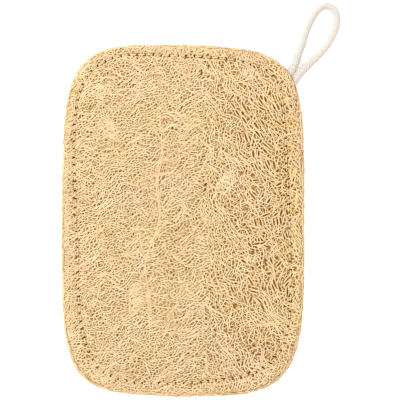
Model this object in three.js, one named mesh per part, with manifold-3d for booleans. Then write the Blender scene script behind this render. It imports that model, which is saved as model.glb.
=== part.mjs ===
// Natural loofah scrub pad: two flattened pieces of dried loofah net, sewn together by one row of
// stitches round the rim, with a cotton cord loop whose ends are held between them at one corner.
// Millimetres. The pad lies flat: +Y along its length, +Z up, the loop at the +X +Y corner.

import * as THREE from "three";
import { mergeVertices } from "three/addons/utils/BufferGeometryUtils.js";
import Module from "manifold-3d";

// Pad outline: a superellipse with its own exponent in each quarter, the top right corner being
// cut a little rounder than the others.
const PAD_WIDTH = 103.4;
const PAD_LENGTH = 150;
const CORNER_TOP_RIGHT = 4.05;
const CORNER_BOTTOM_RIGHT = 4.35;
const CORNER_TOP_LEFT = 4.65;
const CORNER_BOTTOM_LEFT = 4.65;

// Where the cut edge strays from that outline: bearing from the middle in degrees, and how far out
// the edge lies there. It was cut by hand, fullest where the cord comes out.
const EDGE_STRAYS = [[-180, 0], [-126, 0], [-117, -0.8], [-108, -0.9], [-98, -0.4], [-90, 0],
  [-78, -0.4], [-66, -0.4], [-55, 0], [30, 0], [42, 0.6], [47, 0.9], [53, 1.5], [58, 0.8],
  [64, -0.2], [72, -0.9], [80, -0.6], [90, 0], [116, 0], [150, -0.35], [172, 0], [180, 0]];

// Heights. Each layer is measured outwards from its own flat inner face.
const BACK_FACE_Z = 3.15;
const LAYER_GAP = 0.3;
const FRONT_FACE_Z = BACK_FACE_Z + LAYER_GAP;
const FOOT_HEIGHT = BACK_FACE_Z;
const NET_HEIGHT = 2.9;
const NET_HEIGHT_AT_SEAM = 2.15;
const LOWEST_CLEARANCE = 0.15;
const RIM_HEIGHT = 2.25;
const SHOULDER_HEIGHT = 0.95;
const GROOVE_HEIGHT = 1.3;
const FRONT_CROWN = 0.25;

// Gentle swells of the pressed net: two crossing waves and a slanting one.
const SWELL = 0.16;
const SWELL_LENGTH_X = 8.5;
const SWELL_LENGTH_Y = 12;
const SWELL_LENGTH_SLANT = 15;
const SWELL_SHARE_SLANT = 0.6;
const SWELL_SHIFT_X = 0.6;
const SWELL_SHIFT_Y = -0.8;

// Rim: insets from the outline.
const EDGE_UNDERCUT = 0.5;
const RIM_INSET = 2.4;
const SEAM_INSET = 6.2;
const GROOVE_HALF_WIDTH = 0.6;
const NET_INSET = 8.3;
const PINCH_REACH = 11;

// Net: the raised crests run along a jittered grid and each cell between them is sunk.
const COLUMNS = 19;
const ROWS = 27;
const JITTER = 0.25;
const STAGGER = 0.15;
const WAVE = 2.4;
const WAVE_LENGTH = 62;
const WAVE_SHARE_ACROSS = 0.5;
const WAVE_TURNS_ALONG = 1.3;
const WAVE_FADE = 4;
const PIT_DEPTH = [1.0, 1.75];
const PIT_SHRINK = [0.58, 0.74];
const PIT_SHARE_AT_SEAM = 0.6;
const FULL_PIT_INSET = 18;
const POCKET_COVER = 0.5;
const LEAST_BULGE = 0.02;
const CREST_VARIATION = 0.24;
const RIM_VARIATION = 0.3;
const EDGE_VARIATION = 0.35;
const LONG_CELL_CHANCE = 0.3;
const TALL_CELL_CHANCE = 0.16;
const COARSE_FROM_X = 20;
const COARSE_FACTOR = 1.5;

// Main vein of the front layer, from the bottom up, and the strand that crosses the right half.
const MAIN_VEIN = [[-15, -66], [-13.5, -54], [-14, -40], [-14.5, -30], [-17, -18], [-13, -9],
  [-9, 1], [-11.5, 17], [-8, 31], [-10, 48], [-8, 66]];
const VEIN_COLUMN = 7;
const VEIN_RISE = 0.55;
const VEIN_PULL_COLUMNS = 3.2;
const STRAND_Y = -5;
const STRAND_SLOPE = 0.12;
const STRAND_FROM_X = -10;
const STRAND_HALF_WIDTH = 3;
const STRAND_RISE = 0.4;

// Feet of the back layer: cells left whole and flat, which the pad rests on.
const FOOT_CELLS = [[9, 13], [3, 5], [15, 5], [3, 21], [15, 21]];

// Stitches: one thread above and one below, locked together through a hole at each stitch.
const STITCHES = 62;
const HOLE_HALF_LENGTH = 0.6;
const THREAD_WIDTH = 0.6;
const THREAD_HEIGHT = 0.55;
const THREAD_LIFT_AT_HOLE = 0.22;
const THREAD_LIFT_BETWEEN = 0.55;

// Cord and the pocket between the layers that its ends lie in.
const CORD_DIAMETER = 3.2;
const CORD_SIDES = 8;
const CORD_STEPS = 26;
const POCKET_CLEARANCE = 0.3;
const POCKET_CENTRE_Z = 3.6;
const POCKET_SPREAD = 4.8;
const POCKET_START = new THREE.Vector2(45.6, 59.7);
const POCKET_DIRECTION = new THREE.Vector2(-0.59, -0.81).normalize();
const POCKET_LENGTH = 11.4;
const POCKET_LEAD = 6.5;
const FRONT_BULGE = 1.4;
const BACK_BULGE = 0.62;
const BULGE_HALF_WIDTH = 3.5;
const BULGE_FADE = 5.5;

// The cord's route, from the end of the left strand, round the loop, to the end of the right one.
const CORD_ROUTE = [[37.2, 52.3, 3.6], [39.5, 55.5, 3.6], [42.1, 58.6, 3.6], [44.4, 61.3, 3.55],
  [46.3, 64.1, 3.3], [47.9, 67.6, 2.6], [49.3, 71.4, 1.95], [50.9, 75.2, 1.68],
  [52.4, 80.3, 1.65], [54.5, 85.4, 1.65], [57.1, 89.5, 1.65], [60.9, 91.8, 1.65],
  [64.5, 90.0, 1.65], [65.7, 85.9, 1.65], [65.0, 81.6, 1.65], [63.3, 77.8, 1.65],
  [61.0, 74.1, 1.68], [57.8, 70.5, 1.95], [54.2, 67.1, 2.6], [50.7, 63.8, 3.2],
  [47.8, 60.1, 3.55], [45.6, 56.3, 3.6], [43.4, 52.6, 3.6], [41.2, 49.5, 3.6]];

// How finely curves are sampled.
const OUTLINE_SAMPLES = 360;
const CURVE_DIVISIONS = 2000;
const VEIN_SAMPLES = 120;
const SEAM_SEARCH = 0.6;
const SEAM_SEARCH_STEP = 0.0005;

const HALF_WIDTH = PAD_WIDTH / 2;
const HALF_LENGTH = PAD_LENGTH / 2;
const POCKET_RADIUS = CORD_DIAMETER / 2 + POCKET_CLEARANCE;
const UP = 1;
const DOWN = -1;

const wasm = await Module();
wasm.setup();

// Repeatable random numbers from 0 to 1.
function seededRandom(seed) {
  let state = seed >>> 0;
  return () => {
    state = (state + 0x6d2b79f5) >>> 0;
    let mixed = Math.imul(state ^ (state >>> 15), 1 | state);
    mixed = (mixed + Math.imul(mixed ^ (mixed >>> 7), 61 | mixed)) ^ mixed;
    return ((mixed ^ (mixed >>> 14)) >>> 0) / 4294967296;
  };
}

function between(range, share) {
  return THREE.MathUtils.lerp(range[0], range[1], share);
}

function cornerExponent(x, y) {
  if (x >= 0) return y >= 0 ? CORNER_TOP_RIGHT : CORNER_BOTTOM_RIGHT;
  return y >= 0 ? CORNER_TOP_LEFT : CORNER_BOTTOM_LEFT;
}

// How far out the edge lies from the even outline, in the direction of a point.
function edgeStray(x, y) {
  const bearing = THREE.MathUtils.radToDeg(Math.atan2(y, x));
  const after = Math.max(1, EDGE_STRAYS.findIndex(([limit]) => limit >= bearing));
  const [from, strayFrom] = EDGE_STRAYS[after - 1];
  const [to, strayTo] = EDGE_STRAYS[after];
  return THREE.MathUtils.lerp(strayFrom, strayTo, THREE.MathUtils.smoothstep(bearing, from, to));
}

// A point of the outline moved inwards by an inset, at a parameter angle.
function outlinePoint(angle, inset) {
  const cos = Math.cos(angle);
  const sin = Math.sin(angle);
  const power = cornerExponent(cos, sin);
  const x = Math.sign(cos) * HALF_WIDTH * Math.abs(cos) ** (2 / power);
  const y = Math.sign(sin) * HALF_LENGTH * Math.abs(sin) ** (2 / power);
  const normal = new THREE.Vector2(
    Math.sign(x) * (Math.abs(x) / HALF_WIDTH) ** (power - 1) / HALF_WIDTH,
    Math.sign(y) * (Math.abs(y) / HALF_LENGTH) ** (power - 1) / HALF_LENGTH,
  ).normalize();
  return new THREE.Vector2(x, y).addScaledVector(normal, edgeStray(x, y) - inset);
}

// How far a point lies inside the outline, nearly.
function depthInside(x, y) {
  const power = cornerExponent(x, y);
  const u = Math.abs(x) / HALF_WIDTH;
  const v = Math.abs(y) / HALF_LENGTH;
  const level = Math.max((u ** power + v ** power) ** (1 / power), 0.05);
  const slope = Math.hypot(
    (u / level) ** (power - 1) / HALF_WIDTH,
    (v / level) ** (power - 1) / HALF_LENGTH,
  );
  return (1 - level) / slope + edgeStray(x, y);
}

// A curve through part of an inset outline, for evenly spaced points.
function outlineCurve(fromAngle, toAngle, inset, closed) {
  const points = [];
  const last = closed ? OUTLINE_SAMPLES - 1 : OUTLINE_SAMPLES;
  for (let k = 0; k <= last; k++) {
    const angle = fromAngle + (toAngle - fromAngle) * k / OUTLINE_SAMPLES;
    const point = outlinePoint(angle, inset);
    points.push(new THREE.Vector3(point.x, point.y, 0));
  }
  const curve = new THREE.CatmullRomCurve3(points, closed);
  curve.arcLengthDivisions = CURVE_DIVISIONS;
  return curve;
}

// How far the surface is pushed out over the cord's ends, from 0 to 1.
function bulge(x, y) {
  const offset = new THREE.Vector2(x, y).sub(POCKET_START);
  const along = offset.dot(POCKET_DIRECTION);
  const across = Math.abs(offset.cross(POCKET_DIRECTION));
  const side = THREE.MathUtils.smoothstep(across, BULGE_HALF_WIDTH, BULGE_HALF_WIDTH + BULGE_FADE);
  const end = THREE.MathUtils.smoothstep(along, POCKET_LENGTH, POCKET_LENGTH + BULGE_FADE);
  return (1 - side) * (1 - end);
}

// A closed mesh under construction. The turned side builds the same surface upside down.
class Shell {
  constructor(side) {
    this.side = side;
    this.points = [];
    this.faces = [];
  }

  point(x, y, z) {
    this.points.push(x, y, z);
    return this.points.length / 3 - 1;
  }

  triangle(a, b, c) {
    if (this.side === UP) this.faces.push(a, b, c);
    else this.faces.push(a, c, b);
  }

  quad(a, b, c, d) {
    this.triangle(a, b, c);
    this.triangle(a, c, d);
  }

  // Joins two rings with the same number of points.
  strip(outer, inner) {
    for (let k = 0; k < outer.length; k++) {
      const next = (k + 1) % outer.length;
      this.quad(outer[k], outer[next], inner[next], inner[k]);
    }
  }

  // Joins two rings with different numbers of points, by their bearing from the middle.
  zip(outer, inner) {
    const bearing = (index) => Math.atan2(this.points[3 * index + 1], this.points[3 * index]);
    const start = bearing(outer[0]);
    const turn = (index) => (bearing(index) - start + 2 * Math.PI + 1e-9) % (2 * Math.PI);
    const rest = inner.slice().sort((a, b) => turn(a) - turn(b));
    let i = 0;
    let j = 0;
    while (i < outer.length || j < rest.length) {
      const nextOuter = i + 1 < outer.length ? turn(outer[i + 1]) : 2 * Math.PI;
      const nextInner = j + 1 < rest.length ? turn(rest[j + 1]) : 2 * Math.PI + turn(rest[0]);
      const a = outer[i % outer.length];
      const b = rest[j % rest.length];
      if (j >= rest.length || (i < outer.length && nextOuter <= nextInner)) {
        this.triangle(a, outer[(i + 1) % outer.length], b);
        i++;
      } else {
        this.triangle(a, rest[(j + 1) % rest.length], b);
        j++;
      }
    }
  }

  // Fills a flat loop that runs counter-clockwise, with its face outwards or inwards.
  fill(loop, facingOut) {
    const contour = loop.map((index) => {
      return new THREE.Vector2(this.points[3 * index], this.points[3 * index + 1]);
    });
    for (const [a, b, c] of THREE.ShapeUtils.triangulateShape(contour, [])) {
      const area = (contour[b].x - contour[a].x) * (contour[c].y - contour[a].y)
        - (contour[b].y - contour[a].y) * (contour[c].x - contour[a].x);
      const outwards = area > 0 ? [a, b, c] : [a, c, b];
      if (!facingOut) outwards.reverse();
      this.triangle(loop[outwards[0]], loop[outwards[1]], loop[outwards[2]]);
    }
  }

  geometry() {
    const geometry = new THREE.BufferGeometry();
    geometry.setAttribute("position", new THREE.Float32BufferAttribute(this.points, 3));
    geometry.setIndex(this.faces);
    return geometry;
  }
}

function toManifold(geometry) {
  const bare = geometry.clone();
  bare.deleteAttribute("normal");
  bare.deleteAttribute("uv");
  const merged = mergeVertices(bare, 1e-4);
  const solid = new wasm.Manifold(new wasm.Mesh({
    numProp: 3,
    vertProperties: new Float32Array(merged.attributes.position.array),
    triVerts: new Uint32Array(merged.index.array),
  }));
  return solid;
}

function fromManifold(solid) {
  const mesh = solid.getMesh();
  const geometry = new THREE.BufferGeometry();
  geometry.setAttribute("position", new THREE.Float32BufferAttribute(mesh.vertProperties, 3));
  geometry.setIndex(Array.from(mesh.triVerts));
  return geometry;
}

// Seam line: the stitch holes sit at even steps, the first one on the middle of the cord's pocket.
function seamLine() {
  const middle = Math.atan2(POCKET_START.y, POCKET_START.x);
  const start = nearestSeamAngle(middle);
  return outlineCurve(start, start + 2 * Math.PI, SEAM_INSET, true);
}

// The parameter angle at which the seam crosses the pocket's middle line.
function nearestSeamAngle(guess) {
  let best = guess;
  let least = Infinity;
  for (let angle = guess - SEAM_SEARCH; angle < guess + SEAM_SEARCH; angle += SEAM_SEARCH_STEP) {
    const offset = outlinePoint(angle, SEAM_INSET).sub(POCKET_START);
    const across = Math.abs(offset.cross(POCKET_DIRECTION));
    if (offset.dot(POCKET_DIRECTION) > 0 && across < least) {
      least = across;
      best = angle;
    }
  }
  return best;
}

const SEAM = seamLine();
const SEAM_LENGTH = SEAM.getLength();

// A place on the seam line, with the direction that points out of the pad.
function seamPlace(distance) {
  const share = (distance / SEAM_LENGTH + 1) % 1;
  const point = SEAM.getPointAt(share);
  const tangent = SEAM.getTangentAt(share);
  return { x: point.x, y: point.y, outX: tangent.y, outY: -tangent.x };
}

// The two edges of every stitch hole along the seam, in order.
function seamColumns() {
  const columns = [];
  for (let stitch = 0; stitch < STITCHES; stitch++) {
    const centre = SEAM_LENGTH * stitch / STITCHES;
    columns.push(seamPlace(centre - HOLE_HALF_LENGTH));
    columns.push(seamPlace(centre + HOLE_HALF_LENGTH));
  }
  return columns;
}

const SEAM_COLUMNS = seamColumns();

function swell(x, y) {
  const across = Math.sin(x / SWELL_LENGTH_X + SWELL_SHIFT_X);
  const along = Math.sin(y / SWELL_LENGTH_Y + SWELL_SHIFT_Y);
  const slant = Math.sin((x + y) / SWELL_LENGTH_SLANT);
  return SWELL * (across * along + SWELL_SHARE_SLANT * slant);
}

// Height of the bulge for a side, never below the plane that the pad rests on.
function raised(height, x, y, layer) {
  const full = height + layer.bulge * bulge(x, y);
  return layer.side === DOWN ? Math.min(full, BACK_FACE_Z - LOWEST_CLEARANCE) : full;
}

// The net's grid of crest points, laid over the area inside the seam.
function netGrid(layer, random) {
  const corners = [-0.75, -0.25, 0.25, 0.75].map((turns) => turns * Math.PI);
  const bottom = outlineCurve(corners[0], corners[1], NET_INSET, false).getSpacedPoints(COLUMNS);
  const right = outlineCurve(corners[1], corners[2], NET_INSET, false).getSpacedPoints(ROWS);
  const top = outlineCurve(corners[3], corners[2], NET_INSET, false).getSpacedPoints(COLUMNS);
  const left = outlineCurve(corners[0] + 2 * Math.PI, corners[3], NET_INSET, false)
    .getSpacedPoints(ROWS);
  const grid = [];
  for (let i = 0; i <= COLUMNS; i++) {
    grid.push([]);
    for (let j = 0; j <= ROWS; j++) {
      const s = i / COLUMNS;
      const t = j / ROWS;
      const blend = (axis) => (1 - t) * bottom[i][axis] + t * top[i][axis]
        + (1 - s) * left[j][axis] + s * right[j][axis]
        - (1 - s) * (1 - t) * bottom[0][axis] - s * (1 - t) * bottom[COLUMNS][axis]
        - (1 - s) * t * top[0][axis] - s * t * top[COLUMNS][axis];
      const border = i === 0 || j === 0 || i === COLUMNS || j === ROWS;
      grid[i].push({ x: blend("x"), y: blend("y"), border, foot: false, nearFoot: false, i, j });
    }
  }
  if (layer.side === UP) bendToVein(grid);
  if (layer.side === DOWN) markFeet(grid);
  jitter(grid, layer, random);
  return grid;
}

// Draws the grid's lines sideways so that one of them follows the main vein.
function bendToVein(grid) {
  const points = MAIN_VEIN.map(([x, y]) => new THREE.Vector3(x, y, 0));
  const vein = new THREE.CatmullRomCurve3(points).getSpacedPoints(VEIN_SAMPLES);
  for (let j = 1; j < ROWS; j++) {
    const home = grid[VEIN_COLUMN][j];
    const nearest = vein.reduce((a, b) => {
      return Math.abs(a.y - home.y) < Math.abs(b.y - home.y) ? a : b;
    });
    const shift = nearest.x - home.x;
    for (let i = 1; i < COLUMNS; i++) {
      const away = (i - VEIN_COLUMN) / VEIN_PULL_COLUMNS;
      grid[i][j].x += shift * Math.exp(-away * away);
    }
  }
}

// The corners of each foot keep their places, and the points next to them take no wave.
function markFeet(grid) {
  for (const [i, j] of FOOT_CELLS) {
    for (let a = -1; a <= 2; a++) {
      for (let b = -1; b <= 2; b++) {
        const point = grid[i + a][j + b];
        point.nearFoot = true;
        if (a >= 0 && a <= 1 && b >= 0 && b <= 1) point.foot = true;
      }
    }
  }
}

// Moves the crest points off the regular grid: long waves, a stagger of every other point, which
// makes the cells six-sided to the eye, and a random share.
function jitter(grid, layer, random) {
  const stepX = (PAD_WIDTH - 2 * NET_INSET) / COLUMNS;
  const stepY = (PAD_LENGTH - 2 * NET_INSET) / ROWS;
  const turn = 2 * Math.PI / WAVE_LENGTH;
  for (const point of grid.flat()) {
    const { x, y } = point;
    const acrossShare = 2 * random() - 1;
    const alongShare = 2 * random() - 1;
    const fade = Math.min(1, WAVE_FADE * borderShare(point));
    if (!point.border && !point.foot) {
      const stagger = (point.i + point.j) % 2 === 0 ? STAGGER : -STAGGER;
      const wave = point.nearFoot ? 0 : WAVE * fade;
      const waveX = WAVE_SHARE_ACROSS * wave * Math.sin(turn * y + layer.seed);
      const waveY = wave * Math.sin(turn * WAVE_TURNS_ALONG * x + layer.seed);
      point.x += acrossShare * JITTER * stepX + waveX;
      point.y += (alongShare * JITTER + stagger) * stepY + waveY;
    }
    point.height = crestHeight(point, layer, random());
  }
}

// How far a grid point is from the net's border, as a share of the grid.
function borderShare(point) {
  const across = Math.min(point.i, COLUMNS - point.i) / COLUMNS;
  const along = Math.min(point.j, ROWS - point.j) / ROWS;
  return Math.min(across, along);
}

function crestHeight(point, layer, share) {
  if (point.foot) return FOOT_HEIGHT;
  const inside = depthInside(point.x, point.y) - NET_INSET;
  const rise = THREE.MathUtils.smoothstep(inside, 0, PINCH_REACH);
  let height = THREE.MathUtils.lerp(NET_HEIGHT_AT_SEAM, NET_HEIGHT, rise);
  if (!point.border) height += rise * swell(point.x, point.y) + CREST_VARIATION * (2 * share - 1);
  if (layer.side === UP) {
    height += FRONT_CROWN * rise;
    if (point.i === VEIN_COLUMN && !point.border) height += VEIN_RISE * rise;
    const offStrand = Math.abs(point.y - STRAND_Y - STRAND_SLOPE * point.x);
    if (point.x > STRAND_FROM_X && offStrand < STRAND_HALF_WIDTH) height += STRAND_RISE * rise;
  } else {
    height = Math.min(height, FOOT_HEIGHT - LOWEST_CLEARANCE);
  }
  return raised(height, point.x, point.y, layer);
}

// Adds one cell: crests round it, sloping walls and a sunk floor.
function sinkCell(shell, loop, layer, random) {
  const depth = between(PIT_DEPTH, random());
  const shrink = between(PIT_SHRINK, random());
  const centre = { x: 0, y: 0 };
  let lowest = Infinity;
  for (const point of loop) {
    centre.x += point.x / loop.length;
    centre.y += point.y / loop.length;
    lowest = Math.min(lowest, point.height);
  }
  const inset = depthInside(centre.x, centre.y);
  const inside = THREE.MathUtils.smoothstep(inset, NET_INSET, FULL_PIT_INSET);
  const open = lowest - depth * THREE.MathUtils.lerp(PIT_SHARE_AT_SEAM, 1, inside);
  const overPocket = bulge(centre.x, centre.y) > LEAST_BULGE;
  const sunk = overPocket ? Math.max(open, layer.pocketReach + POCKET_COVER) : open;
  const z = layer.face + layer.side * sunk;
  const crest = loop.map((point) => point.index);
  const floor = loop.map((point) => {
    const x = centre.x + (point.x - centre.x) * shrink;
    const y = centre.y + (point.y - centre.y) * shrink;
    return shell.point(x, y, z);
  });
  shell.strip(crest, floor);
  shell.fill(floor, true);
}

// The net inside the seam: some cells are joined in twos, so that the meshes differ in length.
function addNet(shell, layer, random) {
  const grid = netGrid(layer, random);
  for (const point of grid.flat()) {
    point.index = shell.point(point.x, point.y, layer.face + layer.side * point.height);
  }
  const used = new Set();
  const isFoot = (i, j) => {
    return layer.side === DOWN && FOOT_CELLS.some(([a, b]) => a === i && b === j);
  };
  const isFree = (i, j) => i < COLUMNS && j < ROWS && !used.has(i * ROWS + j) && !isFoot(i, j);
  for (let j = 0; j < ROWS; j++) {
    for (let i = 0; i < COLUMNS; i++) {
      if (used.has(i * ROWS + j)) continue;
      const chance = random();
      const coarse = grid[i][j].x > COARSE_FROM_X ? COARSE_FACTOR : 1;
      let wide = 1;
      let tall = 1;
      if (!isFoot(i, j)) {
        if (chance < LONG_CELL_CHANCE * coarse && isFree(i + 1, j) && !keepsVein(i, layer)) wide = 2;
        else if (chance > 1 - TALL_CELL_CHANCE && isFree(i, j + 1)) tall = 2;
      }
      for (let a = 0; a < wide; a++) {
        for (let b = 0; b < tall; b++) used.add((i + a) * ROWS + j + b);
      }
      const loop = cellLoop(grid, i, j, wide, tall);
      if (isFoot(i, j)) shell.fill(loop.map((point) => point.index), true);
      else sinkCell(shell, loop, layer, random);
    }
  }
  return netBorder(grid);
}

// Whether joining a cell to the next would break the main vein.
function keepsVein(i, layer) {
  return layer.side === UP && i + 1 === VEIN_COLUMN;
}

function cellLoop(grid, i, j, wide, tall) {
  const loop = [];
  for (let a = 0; a < wide; a++) loop.push(grid[i + a][j]);
  for (let b = 0; b < tall; b++) loop.push(grid[i + wide][j + b]);
  for (let a = wide; a > 0; a--) loop.push(grid[i + a][j + tall]);
  for (let b = tall; b > 0; b--) loop.push(grid[i][j + b]);
  return loop;
}

function netBorder(grid) {
  return cellLoop(grid, 0, 0, COLUMNS, ROWS).map((point) => point.index);
}

// A ring of points beside the seam's columns, moved outwards, at a height above the inner face.
function seamRing(shell, layer, outwards, height) {
  return SEAM_COLUMNS.map((place) => {
    const x = place.x + place.outX * outwards;
    const y = place.y + place.outY * outwards;
    const lifted = height > 0 ? raised(height, x, y, layer) : 0;
    return shell.point(x, y, layer.face + layer.side * lifted);
  });
}

// A ring of the rim, whose height and reach vary as a cut and pressed edge does.
function rimRing(shell, layer, outwards, height, random) {
  return SEAM_COLUMNS.map((place) => {
    const reach = outwards - EDGE_VARIATION * random();
    const x = place.x + place.outX * reach;
    const y = place.y + place.outY * reach;
    const lifted = raised(height + RIM_VARIATION * (random() - 0.5), x, y, layer);
    return shell.point(x, y, layer.face + layer.side * lifted);
  });
}

// One layer of the pad: the net, the stitched groove round it, the rim and the flat inner face.
function layerGeometry(layer) {
  const random = seededRandom(layer.seed);
  const shell = new Shell(layer.side);
  const net = addNet(shell, layer, random);
  const grooveIn = seamRing(shell, layer, -GROOVE_HALF_WIDTH, GROOVE_HEIGHT);
  const grooveOut = seamRing(shell, layer, GROOVE_HALF_WIDTH, GROOVE_HEIGHT);
  const rim = rimRing(shell, layer, SEAM_INSET - RIM_INSET, RIM_HEIGHT, random);
  const shoulder = rimRing(shell, layer, SEAM_INSET, SHOULDER_HEIGHT, random);
  const edge = seamRing(shell, layer, SEAM_INSET - EDGE_UNDERCUT, 0);
  const baseIn = seamRing(shell, layer, -GROOVE_HALF_WIDTH, 0);
  const baseOut = seamRing(shell, layer, GROOVE_HALF_WIDTH, 0);
  shell.zip(grooveIn, net);
  shell.strip(rim, grooveOut);
  shell.strip(shoulder, rim);
  shell.strip(edge, shoulder);
  shell.strip(baseOut, edge);
  shell.fill(baseIn, false);
  for (let stitch = 0; stitch < STITCHES; stitch++) {
    const a = 2 * stitch;
    const b = a + 1;
    const c = (a + 2) % SEAM_COLUMNS.length;
    shell.quad(grooveOut[b], grooveOut[c], grooveIn[c], grooveIn[b]);
    shell.quad(baseIn[b], baseIn[c], baseOut[c], baseOut[b]);
    shell.quad(grooveOut[a], grooveOut[b], baseOut[b], baseOut[a]);
    shell.quad(grooveIn[b], grooveIn[a], baseIn[a], baseIn[b]);
    shell.quad(grooveIn[a], grooveOut[a], baseOut[a], baseIn[a]);
    shell.quad(grooveOut[b], grooveIn[b], baseIn[b], baseOut[b]);
  }
  const solid = toManifold(shell.geometry()).subtract(toManifold(pocketGeometry()));
  return fromManifold(solid);
}

// The space that the cord's two ends lie in: a flat-sided slot with rounded sides.
function pocketGeometry() {
  const half = POCKET_SPREAD / 2;
  const section = new THREE.Shape();
  section.absarc(half, 0, POCKET_RADIUS, -Math.PI / 2, Math.PI / 2, false);
  section.absarc(-half, 0, POCKET_RADIUS, Math.PI / 2, 3 * Math.PI / 2, false);
  section.closePath();
  const depth = POCKET_LENGTH + POCKET_LEAD;
  const geometry = new THREE.ExtrudeGeometry(section, { depth, bevelEnabled: false, curveSegments: 4 });
  const into = new THREE.Vector3(POCKET_DIRECTION.x, POCKET_DIRECTION.y, 0);
  const up = new THREE.Vector3(0, 0, 1);
  const across = new THREE.Vector3().crossVectors(up, into);
  const origin = new THREE.Vector3(POCKET_START.x, POCKET_START.y, POCKET_CENTRE_Z);
  origin.addScaledVector(into, -POCKET_LEAD);
  geometry.applyMatrix4(new THREE.Matrix4().makeBasis(across, up, into).setPosition(origin));
  return geometry;
}

// The highest that the groove's floor reaches beside one stitch hole of a layer.
function grooveHeight(distance, layer) {
  const heights = [];
  for (const along of [-HOLE_HALF_LENGTH, HOLE_HALF_LENGTH]) {
    const place = seamPlace(distance + along);
    for (const out of [-GROOVE_HALF_WIDTH, GROOVE_HALF_WIDTH]) {
      heights.push(raised(GROOVE_HEIGHT, place.x + place.outX * out, place.y + place.outY * out, layer));
    }
  }
  return Math.max(...heights);
}

// One ring of thread on a layer's outer face: at each stitch two sections at the hole and one
// raised between it and the next. Each section has two lower corners and a crest.
function threadRing(shell, layer) {
  shell.side = layer.side;
  const sections = [];
  const section = (distance, height) => {
    const place = seamPlace(distance);
    const half = THREAD_WIDTH / 2;
    const base = layer.face + layer.side * height;
    const crest = base + layer.side * THREAD_HEIGHT;
    sections.push({
      outer: shell.point(place.x + place.outX * half, place.y + place.outY * half, base),
      inner: shell.point(place.x - place.outX * half, place.y - place.outY * half, base),
      crest: shell.point(place.x, place.y, crest),
    });
  };
  const pitch = SEAM_LENGTH / STITCHES;
  for (let stitch = 0; stitch < STITCHES; stitch++) {
    const centre = stitch * pitch;
    const here = grooveHeight(centre, layer);
    const next = grooveHeight(centre + pitch, layer);
    section(centre - THREAD_WIDTH / 2, here + THREAD_LIFT_AT_HOLE);
    section(centre + THREAD_WIDTH / 2, here + THREAD_LIFT_AT_HOLE);
    section(centre + pitch / 2, Math.max(here, next) + THREAD_LIFT_BETWEEN);
  }
  sections.forEach((a, k) => {
    const b = sections[(k + 1) % sections.length];
    shell.quad(a.outer, b.outer, b.crest, a.crest);
    shell.quad(a.crest, b.crest, b.inner, a.inner);
    if (k % 3 !== 0) shell.quad(a.inner, b.inner, b.outer, a.outer);
  });
  return sections;
}

// The whole seam: the upper and lower rings of thread, tied through the layers at every hole.
function threadGeometry(front, back) {
  const shell = new Shell(UP);
  const upper = threadRing(shell, front);
  const lower = threadRing(shell, back);
  shell.side = UP;
  for (let stitch = 0; stitch < STITCHES; stitch++) {
    const [a, b] = [upper[3 * stitch], upper[3 * stitch + 1]];
    const [c, d] = [lower[3 * stitch], lower[3 * stitch + 1]];
    shell.quad(a.inner, b.inner, d.inner, c.inner);
    shell.quad(b.inner, b.outer, d.outer, d.inner);
    shell.quad(b.outer, a.outer, c.outer, d.outer);
    shell.quad(a.outer, a.inner, c.inner, c.outer);
  }
  return shell.geometry();
}

function cordGeometry() {
  const section = new THREE.Shape();
  for (let k = 0; k < CORD_SIDES; k++) {
    const angle = 2 * Math.PI * (k + 0.5) / CORD_SIDES;
    const x = CORD_DIAMETER / 2 * Math.cos(angle);
    const y = CORD_DIAMETER / 2 * Math.sin(angle);
    if (k === 0) section.moveTo(x, y);
    else section.lineTo(x, y);
  }
  section.closePath();
  const points = CORD_ROUTE.map(([x, y, z]) => new THREE.Vector3(x, y, z));
  const extrudePath = new THREE.CatmullRomCurve3(points);
  return new THREE.ExtrudeGeometry(section, {
    steps: CORD_STEPS,
    bevelEnabled: false,
    extrudePath,
  });
}

function piece(name, geometry, color, roughness) {
  const material = new THREE.MeshStandardMaterial({
    color,
    roughness,
    metalness: 0,
    flatShading: true,
  });
  const mesh = new THREE.Mesh(geometry, material);
  mesh.name = name;
  return mesh;
}

const FRONT_LAYER = {
  side: UP,
  face: FRONT_FACE_Z,
  bulge: FRONT_BULGE,
  pocketReach: POCKET_CENTRE_Z + POCKET_RADIUS - FRONT_FACE_Z,
  seed: 7,
};
const BACK_LAYER = {
  side: DOWN,
  face: BACK_FACE_Z,
  bulge: BACK_BULGE,
  pocketReach: BACK_FACE_Z - POCKET_CENTRE_Z + POCKET_RADIUS,
  seed: 23,
};

const pad = new THREE.Group();
pad.name = "loofah_pad";
pad.add(piece("front_layer", layerGeometry(FRONT_LAYER), 0xe9c796, 0.85));
pad.add(piece("back_layer", layerGeometry(BACK_LAYER), 0xe4c18f, 0.85));
pad.add(piece("seam_thread", threadGeometry(FRONT_LAYER, BACK_LAYER), 0xe6cda2, 0.7));
pad.add(piece("hang_loop", cordGeometry(), 0xe4dcd1, 0.8));

export default pad;
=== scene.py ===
import math
from collections import namedtuple
from functools import cache

import bpy
import numpy as np
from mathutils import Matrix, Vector
from mathutils.geometry import delaunay_2d_cdt


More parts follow.
